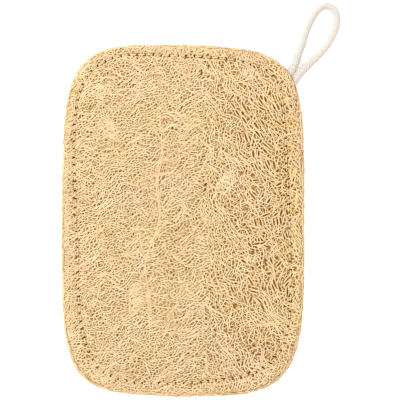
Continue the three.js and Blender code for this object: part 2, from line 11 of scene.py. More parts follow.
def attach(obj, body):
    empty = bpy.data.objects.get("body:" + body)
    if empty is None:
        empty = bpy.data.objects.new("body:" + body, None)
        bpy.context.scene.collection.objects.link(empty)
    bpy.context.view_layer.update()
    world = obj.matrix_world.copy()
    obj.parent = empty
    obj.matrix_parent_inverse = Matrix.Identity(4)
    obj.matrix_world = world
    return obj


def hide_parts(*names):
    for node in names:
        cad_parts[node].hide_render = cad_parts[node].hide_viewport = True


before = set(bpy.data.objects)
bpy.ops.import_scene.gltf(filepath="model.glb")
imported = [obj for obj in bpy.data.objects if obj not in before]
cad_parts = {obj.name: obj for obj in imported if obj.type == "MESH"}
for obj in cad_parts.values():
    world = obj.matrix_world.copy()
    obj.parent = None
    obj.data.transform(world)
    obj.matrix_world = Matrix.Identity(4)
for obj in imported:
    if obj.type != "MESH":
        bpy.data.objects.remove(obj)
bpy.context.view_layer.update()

# A flat scrub pad of dried loofah: two pressed layers of fibre net, sewn together round the rim,
# with a cotton cord loop at one corner. Metres, +Y along the pad, +Z up.

BODY = "root"
MM = 0.001
UP = np.array((0.0, 0.0, 1.0))

# Pad outline, as in the solids: a rounded rectangle, each corner with its own power
PAD_WIDTH = 0.1034
PAD_LENGTH = 0.150
CORNER_POWER = {"top_right": 4.05, "bottom_right": 4.35, "top_left": 4.65, "bottom_left": 4.65}
OUTLINE_SAMPLES = 1441
EDGE_WAVE = 0.0002

# Where the cut edge strays from that outline: bearing from the middle in degrees, and how far
# out it lies
STRAY_BEARINGS = (-180, -126, -117, -108, -98, -90, -78, -66, -55, 30, 42, 47, 53, 58, 64, 72, 80,
                  90, 116, 150, 172, 180)
STRAYS = (0, 0, -0.0008, -0.0009, -0.0004, 0, -0.0004, -0.0004, 0, 0, 0.0006, 0.0009, 0.0015,
          0.0008, -0.0002, -0.0009, -0.0006, 0, 0, -0.00035, 0, 0)

# Heights, as in the solids
BACK_FACE_Z = 0.00315
FRONT_FACE_Z = 0.00345
MIDDLE_Z = 0.0033
LOWEST_Z = 0.00004
CROWN = 0.00025
SWELL = 0.00016
SWELL_LENGTH_X, SWELL_LENGTH_Y, SWELL_LENGTH_SLANT = 0.0085, 0.012, 0.015
SWELL_SHIFT_X, SWELL_SHIFT_Y = 0.6, -0.8
SWELL_SHARE_SLANT = 0.6

# Height of a layer's outer face above its inner one, at insets from the cut edge. The stitches
# pull it down, and it comes back up between PINCH_START and PINCH_END
SEAM_INSET = 0.0062
PINCH_START = 0.0083
PINCH_END = 0.0193
PROFILE_INSETS = (0.0, 0.0003, 0.0009, 0.0024, 0.0045, 0.0055, 0.0062, 0.0069, 0.0083, 0.0130,
                  0.0193)
PROFILE_HEIGHTS = (0.0006, 0.0012, 0.0018, 0.00225, 0.0022, 0.0019, 0.0017, 0.0019, 0.0022,
                   0.0026, 0.0029)

# The pocket between the layers that the cord's ends lie in
POCKET_START = np.array((0.0456, 0.0597))
POCKET_DIRECTION = np.array((-0.59, -0.81)) / math.hypot(0.59, 0.81)
POCKET_LENGTH = 0.0114
POCKET_SPREAD = 0.0048
POCKET_CENTRE_Z = 0.0036
POCKET_RADIUS = 0.0019
BULGE_HALF_WIDTH = 0.0035
BULGE_FADE = 0.0055

# Cord. Its ends are pressed flatter between the layers
CORD_DIAMETER = 0.0032
CORD_ROUTE = (
    (0.0372, 0.0523, 0.0036), (0.0395, 0.0555, 0.0036), (0.0421, 0.0586, 0.0036),
    (0.0444, 0.0613, 0.00355), (0.0463, 0.0641, 0.0033), (0.0479, 0.0676, 0.0026),
    (0.0493, 0.0714, 0.00195), (0.0509, 0.0752, 0.00168), (0.0524, 0.0803, 0.00165),
    (0.0545, 0.0854, 0.00165), (0.0571, 0.0895, 0.00165), (0.0609, 0.0918, 0.00165),
    (0.0645, 0.0900, 0.00165), (0.0657, 0.0859, 0.00165), (0.0650, 0.0816, 0.00165),
    (0.0633, 0.0778, 0.00165), (0.0610, 0.0741, 0.00168), (0.0578, 0.0705, 0.00195),
    (0.0542, 0.0671, 0.0026), (0.0507, 0.0638, 0.0032), (0.0478, 0.0601, 0.00355),
    (0.0456, 0.0563, 0.0036), (0.0434, 0.0526, 0.0036), (0.0412, 0.0495, 0.0036),
)
CORD_RINGS = 170
CORD_CORE_SIDES = 12
ROUTE_SAMPLES = 24
FLAT_TO, ROUND_FROM = 0.017, 0.028
FLAT_WIDER, FLAT_THINNER = 0.26, 0.2
YARNS_EACH_WAY = 8
YARN_SIDES = 4
YARN_RADIUS = 0.00038
YARN_DIP = 0.00004
YARN_TURN_LENGTH = 0.0135
CORE_COVER = 0.8 * YARN_RADIUS

# Stitches. The row wanders: bearings from the pad's middle in degrees, and its inset there
SEAM_BEARINGS = (-180, -166, -150, -136, -126, -115, -104, -90, -78, -68, -60, -53, -48, -36, -20,
                 0, 10, 24, 38, 45, 52, 60, 68, 75, 84, 94, 108, 120, 132, 150, 165, 180)
SEAM_INSETS = (0.0060, 0.0070, 0.0069, 0.0076, 0.0082, 0.0074, 0.0057, 0.0058, 0.0070, 0.0082,
               0.0080, 0.0070, 0.0056, 0.0055, 0.0061, 0.0065, 0.0070, 0.0076, 0.0075, 0.0070,
               0.0052, 0.0056, 0.0066, 0.0061, 0.0053, 0.0049, 0.0040, 0.0052, 0.0048, 0.0052,
               0.0058, 0.0060)
SEAM_SAMPLES = 720
STITCH_PITCH = 0.0035
STITCH_JITTER = 0.0002
STITCH_SEED = 5
STITCH_STEPS = 10
HOLE_RADII = (0.00046, 0.0006)
THREAD_RADIUS = 0.0002
THREAD_SINK = 0.00005
THREAD_DIP = 0.0017
# The thread down each needle hole, painted near black as the hole's shadow: its share of the hole
# and how far below each face its end lies
SHADOW_PLUG_FILL = 0.95
SHADOW_PLUG_DEPTH = 0.0007

# Main vein of the front net, and two bands of strands that cross its right half
MAIN_VEIN = (
    (-0.0150, -0.0660), (-0.0135, -0.0540), (-0.0140, -0.0400), (-0.0145, -0.0300),
    (-0.0170, -0.0180), (-0.0130, -0.0090), (-0.0090, 0.0010), (-0.0115, 0.0170),
    (-0.0080, 0.0310), (-0.0100, 0.0480), (-0.0080, 0.0660),
)
UPPER_BAND = ((-0.0100, -0.0040), (0.0050, -0.0030), (0.0200, -0.0035), (0.0340, -0.0010),
              (0.0470, 0.0030))
LOWER_BAND = ((0.0250, -0.0455), (0.0330, -0.0440), (0.0410, -0.0435), (0.0490, -0.0410))
# The line, number of strands and half width of each
BUNDLES = ((MAIN_VEIN, 2, 0.0005), (UPPER_BAND, 5, 0.0021), (LOWER_BAND, 3, 0.0009))
BUNDLE_RINGS = 42
BUNDLE_DEPTH = 0.0003

# Wider openings of the front net: x, y and radius
OPENINGS = (
    (0.0064, 0.0727, 0.0005), (0.0085, 0.0718, 0.0005), (0.0107, 0.0705, 0.0005),
    (0.0072, 0.0692, 0.0005), (0.0094, 0.0675, 0.0005), (0.0111, 0.0658, 0.0006),
    (0.0081, 0.0628, 0.0006), (0.0107, 0.0611, 0.0005), (0.0094, 0.0151, 0.0005),
    (0.0366, 0.0536, 0.0007), (0.0328, 0.0518, 0.0005), (-0.0077, 0.0300, 0.0005),
    (0.0250, 0.0201, 0.0006), (0.0296, 0.0193, 0.0008), (0.0305, 0.0138, 0.0006),
    (0.0368, 0.0156, 0.0006), (0.0345, 0.0043, 0.0005), (0.0368, 0.0049, 0.0005),
    (0.0448, 0.0066, 0.0005), (0.0298, -0.0137, 0.0007), (0.0348, -0.0169, 0.0006),
    (0.0296, -0.0202, 0.0006), (0.0398, -0.0158, 0.0006), (0.0223, -0.0359, 0.0009),
    (0.0337, -0.0288, 0.0005), (0.0366, -0.0114, 0.0005), (0.0446, -0.0114, 0.0005),
    (0.0456, -0.0167, 0.0005), (0.0222, -0.0320, 0.0004), (0.0136, -0.0467, 0.0005),
    (0.0183, -0.0471, 0.0005), (0.0358, -0.0522, 0.0006), (0.0421, 0.0588, 0.0006),
    (0.0394, 0.0610, 0.0005), (0.0443, 0.0213, 0.0006), (0.0232, 0.0225, 0.0004),
)

# Slots between the strands of the front net's right part: x, y, direction in degrees, length and
# half its width, the lengths in millimetres
SLOTS = (
    (30.3, 65.4, 120, 1.1, 0.35), (31.5, 65.6, 120, 1.2, 0.35), (37.8, 63.6, 145, 2.0, 0.25),
    (33.4, 52.2, 115, 1.4, 0.45), (35.0, 51.4, 115, 1.7, 0.4), (31.4, 52.4, 110, 1.4, 0.35),
    (33.1, 50.6, 125, 2.8, 0.3), (26.1, 48.3, 118, 2.2, 0.45), (27.7, 47.5, 120, 1.8, 0.35),
    (23.1, 45.8, 125, 2.2, 0.3), (21.3, 48.8, 125, 1.7, 0.3), (25.5, 45.4, 120, 0.8, 0.45),
    (26.1, 42.5, 125, 2.2, 0.3), (31.1, 40.4, 125, 2.6, 0.4), (34.0, 41.4, 125, 1.8, 0.35),
    (35.5, 40.4, 120, 1.4, 0.3), (31.8, 36.9, 130, 2.2, 0.35), (33.5, 36.2, 125, 2.0, 0.25),
    (40.9, 41.3, 145, 1.7, 0.35), (38.5, 52.3, 115, 1.5, 0.25), (39.7, 51.9, 115, 1.6, 0.25),
    (40.9, 51.6, 115, 1.5, 0.3), (41.8, 53.0, 115, 1.4, 0.25), (38.7, 48.2, 115, 1.8, 0.3),
    (40.4, 48.2, 115, 1.8, 0.35), (20.9, 52.4, 55, 1.8, 0.35), (24.6, 35.2, 110, 1.8, 0.3),
    (26.8, 35.2, 110, 2.0, 0.35), (28.5, 34.9, 115, 1.7, 0.3), (44.6, 55.4, 105, 1.7, 0.3),
    (33.5, 47.5, 155, 3.0, 0.25), (35.7, 23.2, 115, 3.4, 0.28), (36.4, 24.6, 115, 2.1, 0.35),
    (38.8, 23.6, 105, 2.6, 0.45), (31.1, 22.8, 115, 2.1, 0.25), (40.9, 15.5, 30, 1.8, 0.35),
    (44.0, 16.7, 50, 1.0, 0.4), (25.1, 10.4, 125, 2.1, 0.3), (26.1, 10.2, 125, 2.0, 0.25),
    (29.7, 10.3, 130, 2.6, 0.35), (30.4, 11.4, 140, 1.4, 0.35), (36.4, 8.2, 60, 1.3, 0.35),
    (44.8, 13.8, 55, 1.8, 0.35), (46.5, 15.1, 60, 0.8, 0.35), (30.9, -1.1, 105, 2.2, 0.4),
    (31.8, -0.3, 105, 2.0, 0.35), (32.9, -0.8, 105, 2.2, 0.4), (38.7, -0.8, 100, 2.0, 0.3),
    (40.1, -0.4, 100, 2.0, 0.3), (41.5, -0.1, 100, 2.2, 0.35), (35.0, 29.4, 130, 1.0, 0.4),
    (32.2, 28.5, 90, 1.7, 0.3), (29.9, 28.3, 95, 2.1, 0.4), (37.3, 31.7, 140, 2.1, 0.35),
    (35.0, 32.0, 140, 1.4, 0.3), (30.9, 17.1, 3, 2.1, 0.3), (41.8, 3.4, 75, 1.2, 0.35),
    (44.2, 3.6, 100, 1.4, 0.35), (39.5, 2.6, 40, 1.7, 0.3), (34.8, 2.2, 20, 1.7, 0.3),
    (25.7, -17.3, 140, 1.8, 0.35), (37.4, -16.7, 110, 1.8, 0.3), (39.0, -26.8, 112, 3.4, 0.4),
    (38.4, -28.5, 112, 2.2, 0.3), (41.3, -29.2, 110, 1.8, 0.4), (29.1, -26.4, 120, 2.2, 0.35),
    (20.9, -29.2, 115, 2.2, 0.3), (44.4, -30.3, 90, 2.2, 0.35), (44.2, -27.1, 55, 1.8, 0.3),
    (44.4, -25.2, 50, 2.2, 0.3), (46.0, -23.4, 60, 1.8, 0.3), (45.8, -27.1, 88, 3.0, 0.3),
    (26.5, -33.6, 105, 3.0, 0.3), (28.8, -33.6, 70, 1.8, 0.4), (33.6, -36.3, 115, 3.4, 0.45),
    (32.7, -34.3, 135, 2.8, 0.25), (30.4, -28.8, 165, 2.1, 0.35), (30.4, -30.3, 165, 2.6, 0.3),
    (28.3, -10.2, 130, 1.6, 0.35), (40.8, -18.5, 50, 1.7, 0.35), (43.1, -7.0, 105, 1.4, 0.3),
    (44.1, -6.4, 105, 1.5, 0.3), (45.2, -5.8, 100, 1.4, 0.35), (34.0, -9.5, 20, 1.7, 0.35),
    (31.5, -9.8, 10, 1.2, 0.35), (30.9, -8.1, 120, 0.9, 0.3), (32.1, -8.1, 110, 0.9, 0.35),
    (33.6, -8.3, 130, 1.1, 0.3),
)

# A gap in the fibres: its middle, radius, the two parts of its half length, and how dark the
# painted shade at its border is. A round one has no length
Hole = namedtuple("Hole", "x y radius half_x half_y shade")
NEEDLE_SHADE = 0.85
OPENING_SHADE = 0.6
SHADE_WIDTH = 0.0002
HOLE_CLEARANCE = 0.00025

# Where the net is open, and how coarse it is: at the least, more in the open part, and in patches
OPEN_FROM_X = 0.012
OPEN_TO_X = 0.032
COARSE_LEAST = 0.29
COARSE_OPEN = 0.28
COARSE_PATCHES = 0.15

# Nets of a layer, from the deepest: name, heading in degrees, distance between knots, how far the
# cells are stretched, depth below the surface, radius of the strands, and least and greatest x
NETS = (
    ("deep", 62, 0.0021, 1.2, 0.00085, 0.00038, (-1, 1)),
    ("middle", -30, 0.0015, 1.3, 0.0005, 0.00028, (-1, 1)),
    ("top", -74, 0.00132, 1.5, 0.0001, 0.00026, (-1, 0.011)),
    ("open", 24, 0.00142, 1.6, 0.0001, 0.00026, (0.009, 1)),
)
NET_SWAY = 0.0009
BACK_NET_SCALE = 1.1
PATCHES = {"pitch": 0.0105, "reach": 0.0044, "spacing": 0.0016, "depth": 0.00014,
           "radius": 0.00025, "share": 0.06}

# How a net is knotted and its strands are followed
KNOT_JITTER = 0.2
ROW_HEIGHT = 0.87
LEAST_STRAIGHTNESS = 0.2
ALONG_WEIGHT = 0.45
SMOOTHING_ROUNDS = 4
LONGEST_STRAND = 30
DROPPED_SHARE = 0.03

# Single fibres: number, radii, tone and its spread, and depths below the surface
LONG_FIBRES = {"count": 260, "radii": (0.0002, 0.00026), "tone": (0.55, 0.12),
               "depths": (0.00004, 0.00028)}
LOOSE_FIBRES = {"count": 550, "radii": (0.0002, 0.00028), "tone": (0.55, 0.16),
                "depths": (-0.00005, 0.00015)}
RIM_FIBRES = {"count": 680, "radii": (0.00019, 0.00027), "tone": (0.5, 0.18),
              "depths": (0, 0.0004)}
EDGE_FIBRES = 900
EDGE_FIBRE_SAMPLES = 1200
EDGE_FIBRE_TOP = 0.0016
FIBRE_STEPS = 6
LONG_FIBRE_STEPS = 8
EDGE_FIBRE_STEPS = 5
SLOT_LIP_RINGS = 7
FIBRE_END_DIP = 0.00045
FIBRE_WEAVE = 0.00008
STRAND_WEAVE = 0.00005
EDGE_MARGIN = 0.0003
INNER_FIELD = 0.003
LEAST_HEIGHT = 0.00015
CUT_SAMPLES = 61

# The mat under the fibres
MAT_CELLS_ACROSS, MAT_CELLS_ALONG = 54, 78
MAT_COVER = 0.0014
MAT_COVER_COARSE = 0.0004
MAT_ROUGHNESS = 0.00025
MAT_SCALE = 0.996
MAT_TONE = 0.4

# Painted shade: full at this depth below the surface, and this share of it at the cut edge,
# whose side lies in shade, within this width of it
FULL_SHADE_DEPTH = 0.0018
EDGE_SHADE = 0.38
EDGE_SHADE_WIDTH = 0.0006

# Colours
STRAW = (0.905, 0.69, 0.405, 1)
RED_STRAW = (0.91, 0.67, 0.425, 1)
YELLOW_STRAW = (0.90, 0.69, 0.39, 1)
PALE_STRAW = (0.90, 0.71, 0.45, 1)
TAN = (0.68, 0.47, 0.20, 1)
AMBER = (0.86, 0.57, 0.21, 1)
# Painted shade: the straw darkens to these where fibres lie deep, round holes and at the cut edge
PAINTED_SHADE_TAN = (0.70, 0.46, 0.175, 1)
PAINTED_SHADOW_BROWN = (0.44, 0.23, 0.035, 1)
GRAIN_BROWN = (0.5, 0.32, 0.14, 1)
COTTON_SHADE = (0.57, 0.52, 0.475, 1)
COTTON = (0.70, 0.65, 0.60, 1)
THREAD_SHADE = (0.72, 0.53, 0.29, 1)
THREAD = (0.86, 0.66, 0.40, 1)
# Painted shadow of the needle holes, on the thread that goes down into them
PAINTED_HOLE_SHADOW = (0.04, 0.014, 0.002, 1)
WHITE = (1.0, 1.0, 1.0, 1)
FLOOR_WHITE = (0.93, 0.93, 0.93, 1)
# Borders of the ambered part beside the right edge: axis, where it is 0 and where it is 1
AMBER_BORDERS = (("X", 0.036, 0.043), ("X", 0.0505, 0.047), ("Y", -0.018, -0.004),
                 ("Y", 0.056, 0.042))

# Photograph's framing: the picture is 0.1704 m wide at the pad's middle height
PICTURE_WIDTH = 0.1704
PICTURE_CENTRE = (0.00724, 0.00874)
CAMERA_DISTANCE = 0.8
CAMERA_CLIP = 0.01
SENSOR_WIDTH = 36.0

# Studio: name, place, size, power and colour of each light
LIGHTS = (
    ("key", (-0.55, 0.45, 0.75), 0.5, 8.9, (1.0, 0.98, 0.96)),
    ("fill", (0.6, -0.5, 0.9), 0.9, 2.5, (1.0, 1.0, 1.0)),
)
WORLD_STRENGTH = 0.88
FLOOR_GLOW = 0.35
FLOOR_SIZE = 6

FRONT = {"name": "front", "side": 1, "face": FRONT_FACE_Z, "bulge": 0.0014, "seed": 7,
         "node": "front_layer"}
BACK = {"name": "back", "side": -1, "face": BACK_FACE_Z, "bulge": 0.00062, "seed": 23,
        "node": "back_layer"}
LAYER_SEED = 100


class Finish:
    """A material in the making: its shader, and the kinds of node that the finishes share."""

    def __init__(self, name, settings):
        self.material = bpy.data.materials.new(name)
        self.material.use_nodes = True
        self.nodes = self.material.node_tree.nodes
        self.links = self.material.node_tree.links
        self.nodes.clear()
        output = self.nodes.new("ShaderNodeOutputMaterial")
        self.shader = self.nodes.new("ShaderNodeBsdfPrincipled")
        self.links.new(self.shader.outputs["BSDF"], output.inputs["Surface"])
        for socket, value in settings.items():
            self.shader.inputs[socket].default_value = value

    def place(self):
        """The place on the piece, in its own coordinates."""
        node = self.nodes.get("place") or self.nodes.new("ShaderNodeTexCoord")
        node.name = "place"
        return node.outputs["Object"]

    def noise(self, scale, detail):
        node = self.nodes.new("ShaderNodeTexNoise")
        node.inputs["Scale"].default_value = scale
        node.inputs["Detail"].default_value = detail
        self.links.new(self.place(), node.inputs["Vector"])
        return node.outputs["Fac"]

    def attribute(self, name):
        node = self.nodes.new("ShaderNodeAttribute")
        node.attribute_name = name
        return node.outputs["Fac"]

    def ramp(self, value, low, high):
        """0 at low, 1 at high and even between them."""
        node = self.nodes.new("ShaderNodeMapRange")
        node.inputs["From Min"].default_value = low
        node.inputs["From Max"].default_value = high
        self.links.new(value, node.inputs["Value"])
        return node.outputs["Result"]

    def mix(self, factor, first, second):
        """The first colour where the factor is 0 and the second where it is 1."""
        node = self.nodes.new("ShaderNodeMix")
        node.data_type = "RGBA"
        colours = [socket for socket in node.inputs if socket.type == "RGBA"]
        for socket, value in zip((node.inputs["Factor"], *colours), (factor, first, second)):
            if isinstance(value, (tuple, float)):
                socket.default_value = value
            else:
                self.links.new(value, socket)
        return [socket for socket in node.outputs if socket.type == "RGBA"][0]

    def colour_ramp(self, value, *stops):
        """A ramp between two colours, each at its position."""
        node = self.nodes.new("ShaderNodeValToRGB")
        for element, (position, colour) in zip(node.color_ramp.elements, stops):
            element.position = position
            element.color = colour
        self.links.new(value, node.inputs["Fac"])
        return node.outputs["Color"]

    def colour(self, value):
        self.links.new(value, self.shader.inputs["Base Color"])

    def bump(self, height, strength, distance):
        node = self.nodes.new("ShaderNodeBump")
        node.inputs["Strength"].default_value = strength
        node.inputs["Distance"].default_value = distance
        self.links.new(height, node.inputs["Height"])
        self.links.new(node.outputs["Normal"], self.shader.inputs["Normal"])


# Camera and studio

def add_camera():
    data = bpy.data.cameras.new("camera")
    data.sensor_width = SENSOR_WIDTH
    data.lens = SENSOR_WIDTH * CAMERA_DISTANCE / PICTURE_WIDTH
    data.clip_start = CAMERA_CLIP
    camera = bpy.data.objects.new("camera", data)
    camera.location = (*PICTURE_CENTRE, MIDDLE_Z + CAMERA_DISTANCE)
    bpy.context.scene.collection.objects.link(camera)
    bpy.context.scene.camera = camera


def add_light(name, location, size, power, colour):
    data = bpy.data.lights.new(name, "AREA")
    data.energy = power
    data.color = colour
    data.size = size
    light = bpy.data.objects.new(name, data)
    light.location = location
    aim = Vector((0, 0, 0)) - Vector(location)
    light.rotation_euler = aim.to_track_quat("-Z", "Y").to_euler()
    bpy.context.scene.collection.objects.link(light)


def add_stage():
    bpy.ops.mesh.primitive_plane_add(size=FLOOR_SIZE)
    floor = bpy.context.object
    floor.name = "floor"
    finish = Finish("studio_white", {
        "Base Color": FLOOR_WHITE, "Roughness": 0.9, "Specular IOR Level": 0.0,
        "Emission Color": WHITE, "Emission Strength": FLOOR_GLOW})
    floor.data.materials.append(finish.material)
    world = bpy.data.worlds.new("studio")
    bpy.context.scene.world = world
    world.use_nodes = True
    background = world.node_tree.nodes["Background"]
    background.inputs["Color"].default_value = WHITE
    background.inputs["Strength"].default_value = WORLD_STRENGTH
    for light in LIGHTS:
        add_light(*light)
    view = bpy.context.scene.view_settings
    view.view_transform = "Standard"
    view.look = "None"


# Outline, heights and directions

def run_along(line):
    """How far along a line each of its points lies."""
    return np.concatenate(([0], np.cumsum(np.linalg.norm(np.diff(line, axis=0), axis=1))))


def points_at(distances, travelled, line):
    """The points that lie at given distances along a line."""
    return np.stack([np.interp(distances, travelled, values) for values in line.T], axis=1)


def corner_power(x, y):
    top = np.where(x >= 0, CORNER_POWER["top_right"], CORNER_POWER["top_left"])
    bottom = np.where(x >= 0, CORNER_POWER["bottom_right"], CORNER_POWER["bottom_left"])
    return np.where(y >= 0, top, bottom)


def edge_stray(x, y):
    """How far out the cut edge lies from the even outline, in the direction of a point."""
    return np.interp(np.degrees(np.arctan2(y, x)), STRAY_BEARINGS, STRAYS)


def outline_points(count):
    """Even points along the cut edge, with their outward directions, counter-clockwise."""
    angle = np.linspace(0, 2 * math.pi, OUTLINE_SAMPLES)
    cos, sin = np.cos(angle), np.sin(angle)
    power = corner_power(cos, sin)
    x = np.sign(cos) * PAD_WIDTH / 2 * np.abs(cos) ** (2 / power)
    y = np.sign(sin) * PAD_LENGTH / 2 * np.abs(sin) ** (2 / power)
    out_x = np.sign(x) * np.abs(2 * x / PAD_WIDTH) ** (power - 1) / PAD_WIDTH
    out_y = np.sign(y) * np.abs(2 * y / PAD_LENGTH) ** (power - 1) / PAD_LENGTH
    size = np.hypot(out_x, out_y)
    out_x, out_y = out_x / size, out_y / size
    stray = edge_stray(x, y)
    x, y = x + stray * out_x, y + stray * out_y
    travelled = np.concatenate(([0], np.cumsum(np.hypot(np.diff(x), np.diff(y)))))
    even = np.linspace(0, travelled[-1], count, endpoint=False)
    places = points_at(even, travelled, np.stack((x, y), axis=1))
    outwards = points_at(even, travelled, np.stack((out_x, out_y), axis=1))
    outwards /= np.linalg.norm(outwards, axis=1, keepdims=True)
    return places, outwards


def inset_of(x, y):
    """How far a point lies inside the pad's slightly wavy outline."""
    power = corner_power(x, y)
    half_width, half_length = PAD_WIDTH / 2, PAD_LENGTH / 2
    u, v = np.abs(x) / half_width, np.abs(y) / half_length
    level = np.maximum((u ** power + v ** power) ** (1 / power), 0.05)
    slope = 1e-6 + np.hypot((u / level) ** (power - 1) / half_width,
                            (v / level) ** (power - 1) / half_length)
    bearing = np.arctan2(y, x)
    wave = EDGE_WAVE * (np.sin(7 * bearing + 1.0) + 0.6 * np.sin(17 * bearing + 2.0) - 1.0)
    return (1 - level) / slope + edge_stray(x, y) + wave


def smoothstep(value, low, high):
    share = np.clip((value - low) / (high - low), 0, 1)
    return share * share * (3 - 2 * share)


def pocket_place(x, y):
    """How far along the pocket a point lies, and how far from its middle line."""
    offset_x, offset_y = x - POCKET_START[0], y - POCKET_START[1]
    along = offset_x * POCKET_DIRECTION[0] + offset_y * POCKET_DIRECTION[1]
    across = np.abs(offset_x * POCKET_DIRECTION[1] - offset_y * POCKET_DIRECTION[0])
    return along, across


def bulge(x, y):
    """1 over the cord's ends, and 0 away from them."""
    along, across = pocket_place(x, y)
    side = smoothstep(across, BULGE_HALF_WIDTH, BULGE_HALF_WIDTH + BULGE_FADE)
    end = smoothstep(along, POCKET_LENGTH, POCKET_LENGTH + BULGE_FADE)
    return (1 - side) * (1 - end)


def seam_inset(x, y):
    """How far inside the outline the stitches run, at a point's bearing."""
    return np.interp(np.degrees(np.arctan2(y, x)), SEAM_BEARINGS, SEAM_INSETS) + edge_stray(x, y)


def surface_height(x, y, layer):
    """Height of a layer's outer surface above its inner face."""
    inset = inset_of(x, y)
    seam = seam_inset(x, y)
    from_seam = np.where(inset < seam, inset * SEAM_INSET / seam, inset - seam + SEAM_INSET)
    height = np.interp(from_seam, PROFILE_INSETS, PROFILE_HEIGHTS)
    rise = smoothstep(inset, PINCH_START, PINCH_END)
    swell = (np.sin(x / SWELL_LENGTH_X + SWELL_SHIFT_X) * np.sin(y / SWELL_LENGTH_Y + SWELL_SHIFT_Y)
             + SWELL_SHARE_SLANT * np.sin((x + y) / SWELL_LENGTH_SLANT))
    height = height + rise * SWELL * swell + layer["bulge"] * bulge(x, y)
    if layer["side"] > 0:
        return height + CROWN * rise
    return np.minimum(height, BACK_FACE_Z - LOWEST_Z)


def vein_angle(x, y, layer):
    """Main direction of the long strands: calm on the right, turning about on the left."""
    right = smoothstep(x * layer["side"], 0.008, 0.026)
    calm = np.radians(22 + 10 * np.sin(y / 0.017 + x / 0.03))
    wild = np.radians(40 * np.sin(x / 0.012 + y / 0.021 + layer["seed"])
                      + 55 * np.sin(y / 0.013 - x / 0.024))
    return right * calm + (1 - right) * wild


def coarseness(x, y, layer):
    """0 where the net is fine and felted, 1 where it is open."""
    seed = layer["seed"]
    patch = np.sin(x / 0.006 + 1.3 * seed) * np.sin(y / 0.008 + 0.4 * seed)
    opening = smoothstep(x * layer["side"], OPEN_FROM_X, OPEN_TO_X)
    return np.clip(COARSE_LEAST + COARSE_OPEN * opening + COARSE_PATCHES * patch, 0, 1)


def depth_below(places):
    """How deep points lie under the outer face of their layer."""
    x, y, z = places[:, 0], places[:, 1], places[:, 2]
    in_front = FRONT["face"] + surface_height(x, y, FRONT) - z
    in_back = z - BACK["face"] + surface_height(x, y, BACK)
    return np.where(z > MIDDLE_Z, in_front, in_back)


# Fibres: one straight fibre is modelled, and copies of it are bent along paths

@cache
def fibre_template(sides, steps):
    """A closed rod of unit radius whose rings lie at z = 0, 1, 2 ..."""
    bpy.ops.object.select_all(action="DESELECT")
    bpy.ops.mesh.primitive_circle_add(vertices=sides, radius=1, fill_type="NGON")
    rod = bpy.context.object
    bpy.ops.object.mode_set(mode="EDIT")
    bpy.ops.mesh.select_all(action="SELECT")
    for _ in range(steps):
        bpy.ops.mesh.extrude_region_move(TRANSFORM_OT_translate={"value": (0, 0, 1)})
    bpy.ops.mesh.select_all(action="SELECT")
    bpy.ops.mesh.normals_make_consistent(inside=False)
    bpy.ops.object.mode_set(mode="OBJECT")
    corners = np.array([vertex.co[:] for vertex in rod.data.vertices])
    faces = [tuple(polygon.vertices) for polygon in rod.data.polygons]
    bpy.data.objects.remove(rod, do_unlink=True)
    return corners, faces


def bend_rods(paths, radii, sides, outwards):
    """Bends copies of the fibre along paths. paths: (count, rings, 3). radii: (count, rings).

    A three-sided fibre turns a flat side outwards: up for 1, down for -1.
    """
    corners, faces = fibre_template(sides, paths.shape[1] - 1)
    ring = np.rint(corners[:, 2]).astype(int)
    tangent = np.gradient(paths, axis=1)
    tangent /= np.linalg.norm(tangent, axis=2, keepdims=True) + 1e-12
    side = np.cross(tangent, UP)
    length = np.linalg.norm(side, axis=2, keepdims=True)
    side = np.where(length > 1e-6, side / np.maximum(length, 1e-6), np.array((1.0, 0.0, 0.0)))
    rise = np.cross(side, tangent)
    places = (
        paths[:, ring]
        - outwards * side[:, ring] * (corners[:, 0] * radii[:, ring])[..., None]
        - outwards * rise[:, ring] * (corners[:, 1] * radii[:, ring])[..., None]
    )
    return places, faces


def dress(mesh, material, tone, depth):
    """Gives a mesh its material, smooth faces, and the tone and painted shade (depth) that the
    material reads.
    """
    for name, values in (("tone", tone), ("depth", depth)):
        mesh.attributes.new(name, "FLOAT", "POINT").data.foreach_set("value", values)
    mesh.materials.append(material)
    mesh.polygons.foreach_set("use_smooth", np.ones(len(mesh.polygons), dtype=bool))


class Bundle:
    """Gathers bent fibres of one piece, with what their material needs to know."""

    def __init__(self, outwards=1):
        self.outwards = outwards
        self.places = []
        self.faces = []
        self.tones = []
        self.start = 0

    def add(self, paths, radii, tones, sides):
        places, faces = bend_rods(paths, radii, sides, self.outwards)
        count, each = places.shape[:2]
        self.places.append(places.reshape(-1, 3))
        self.tones.append(np.repeat(tones, each))
        for index in range(count):
            shift = self.start + index * each
            self.faces.extend([tuple(corner + shift for corner in face) for face in faces])
        self.start += count * each

    def piece(self, name, material, holes=()):
        mesh = bpy.data.meshes.new(name)
        places = np.concatenate(self.places)
        mesh.from_pydata(places, [], self.faces)
        mesh.update()
        x, y = places[:, 0], places[:, 1]
        # Painted shade: darker the deeper a point lies, round the holes' borders and at the cut
        # edge
        sunk = np.clip(depth_below(places) / FULL_SHADE_DEPTH, 0, 1)
        for hole in holes:
            away = distance_to(hole, x, y)[0]
            near = 1 - smoothstep(away, hole.radius, hole.radius + SHADE_WIDTH)
            sunk = np.maximum(sunk, hole.shade * near)
        sunk = np.maximum(sunk, EDGE_SHADE * (1 - smoothstep(inset_of(x, y), 0, EDGE_SHADE_WIDTH)))
        dress(mesh, material, np.concatenate(self.tones), sunk)
        thing = bpy.data.objects.new(name, mesh)
        bpy.context.scene.collection.objects.link(thing)
        return thing


def grow_paths(x, y, angle, curl, length, steps):
    """Paths in plan that start at points and turn steadily as they run."""
    step = length / steps
    xs, ys = [x], [y]
    for _ in range(steps):
        x = x + step * np.cos(angle)
        y = y + step * np.sin(angle)
        angle = angle + curl * step
        xs.append(x)
        ys.append(y)
    return np.stack(xs, axis=1), np.stack(ys, axis=1)


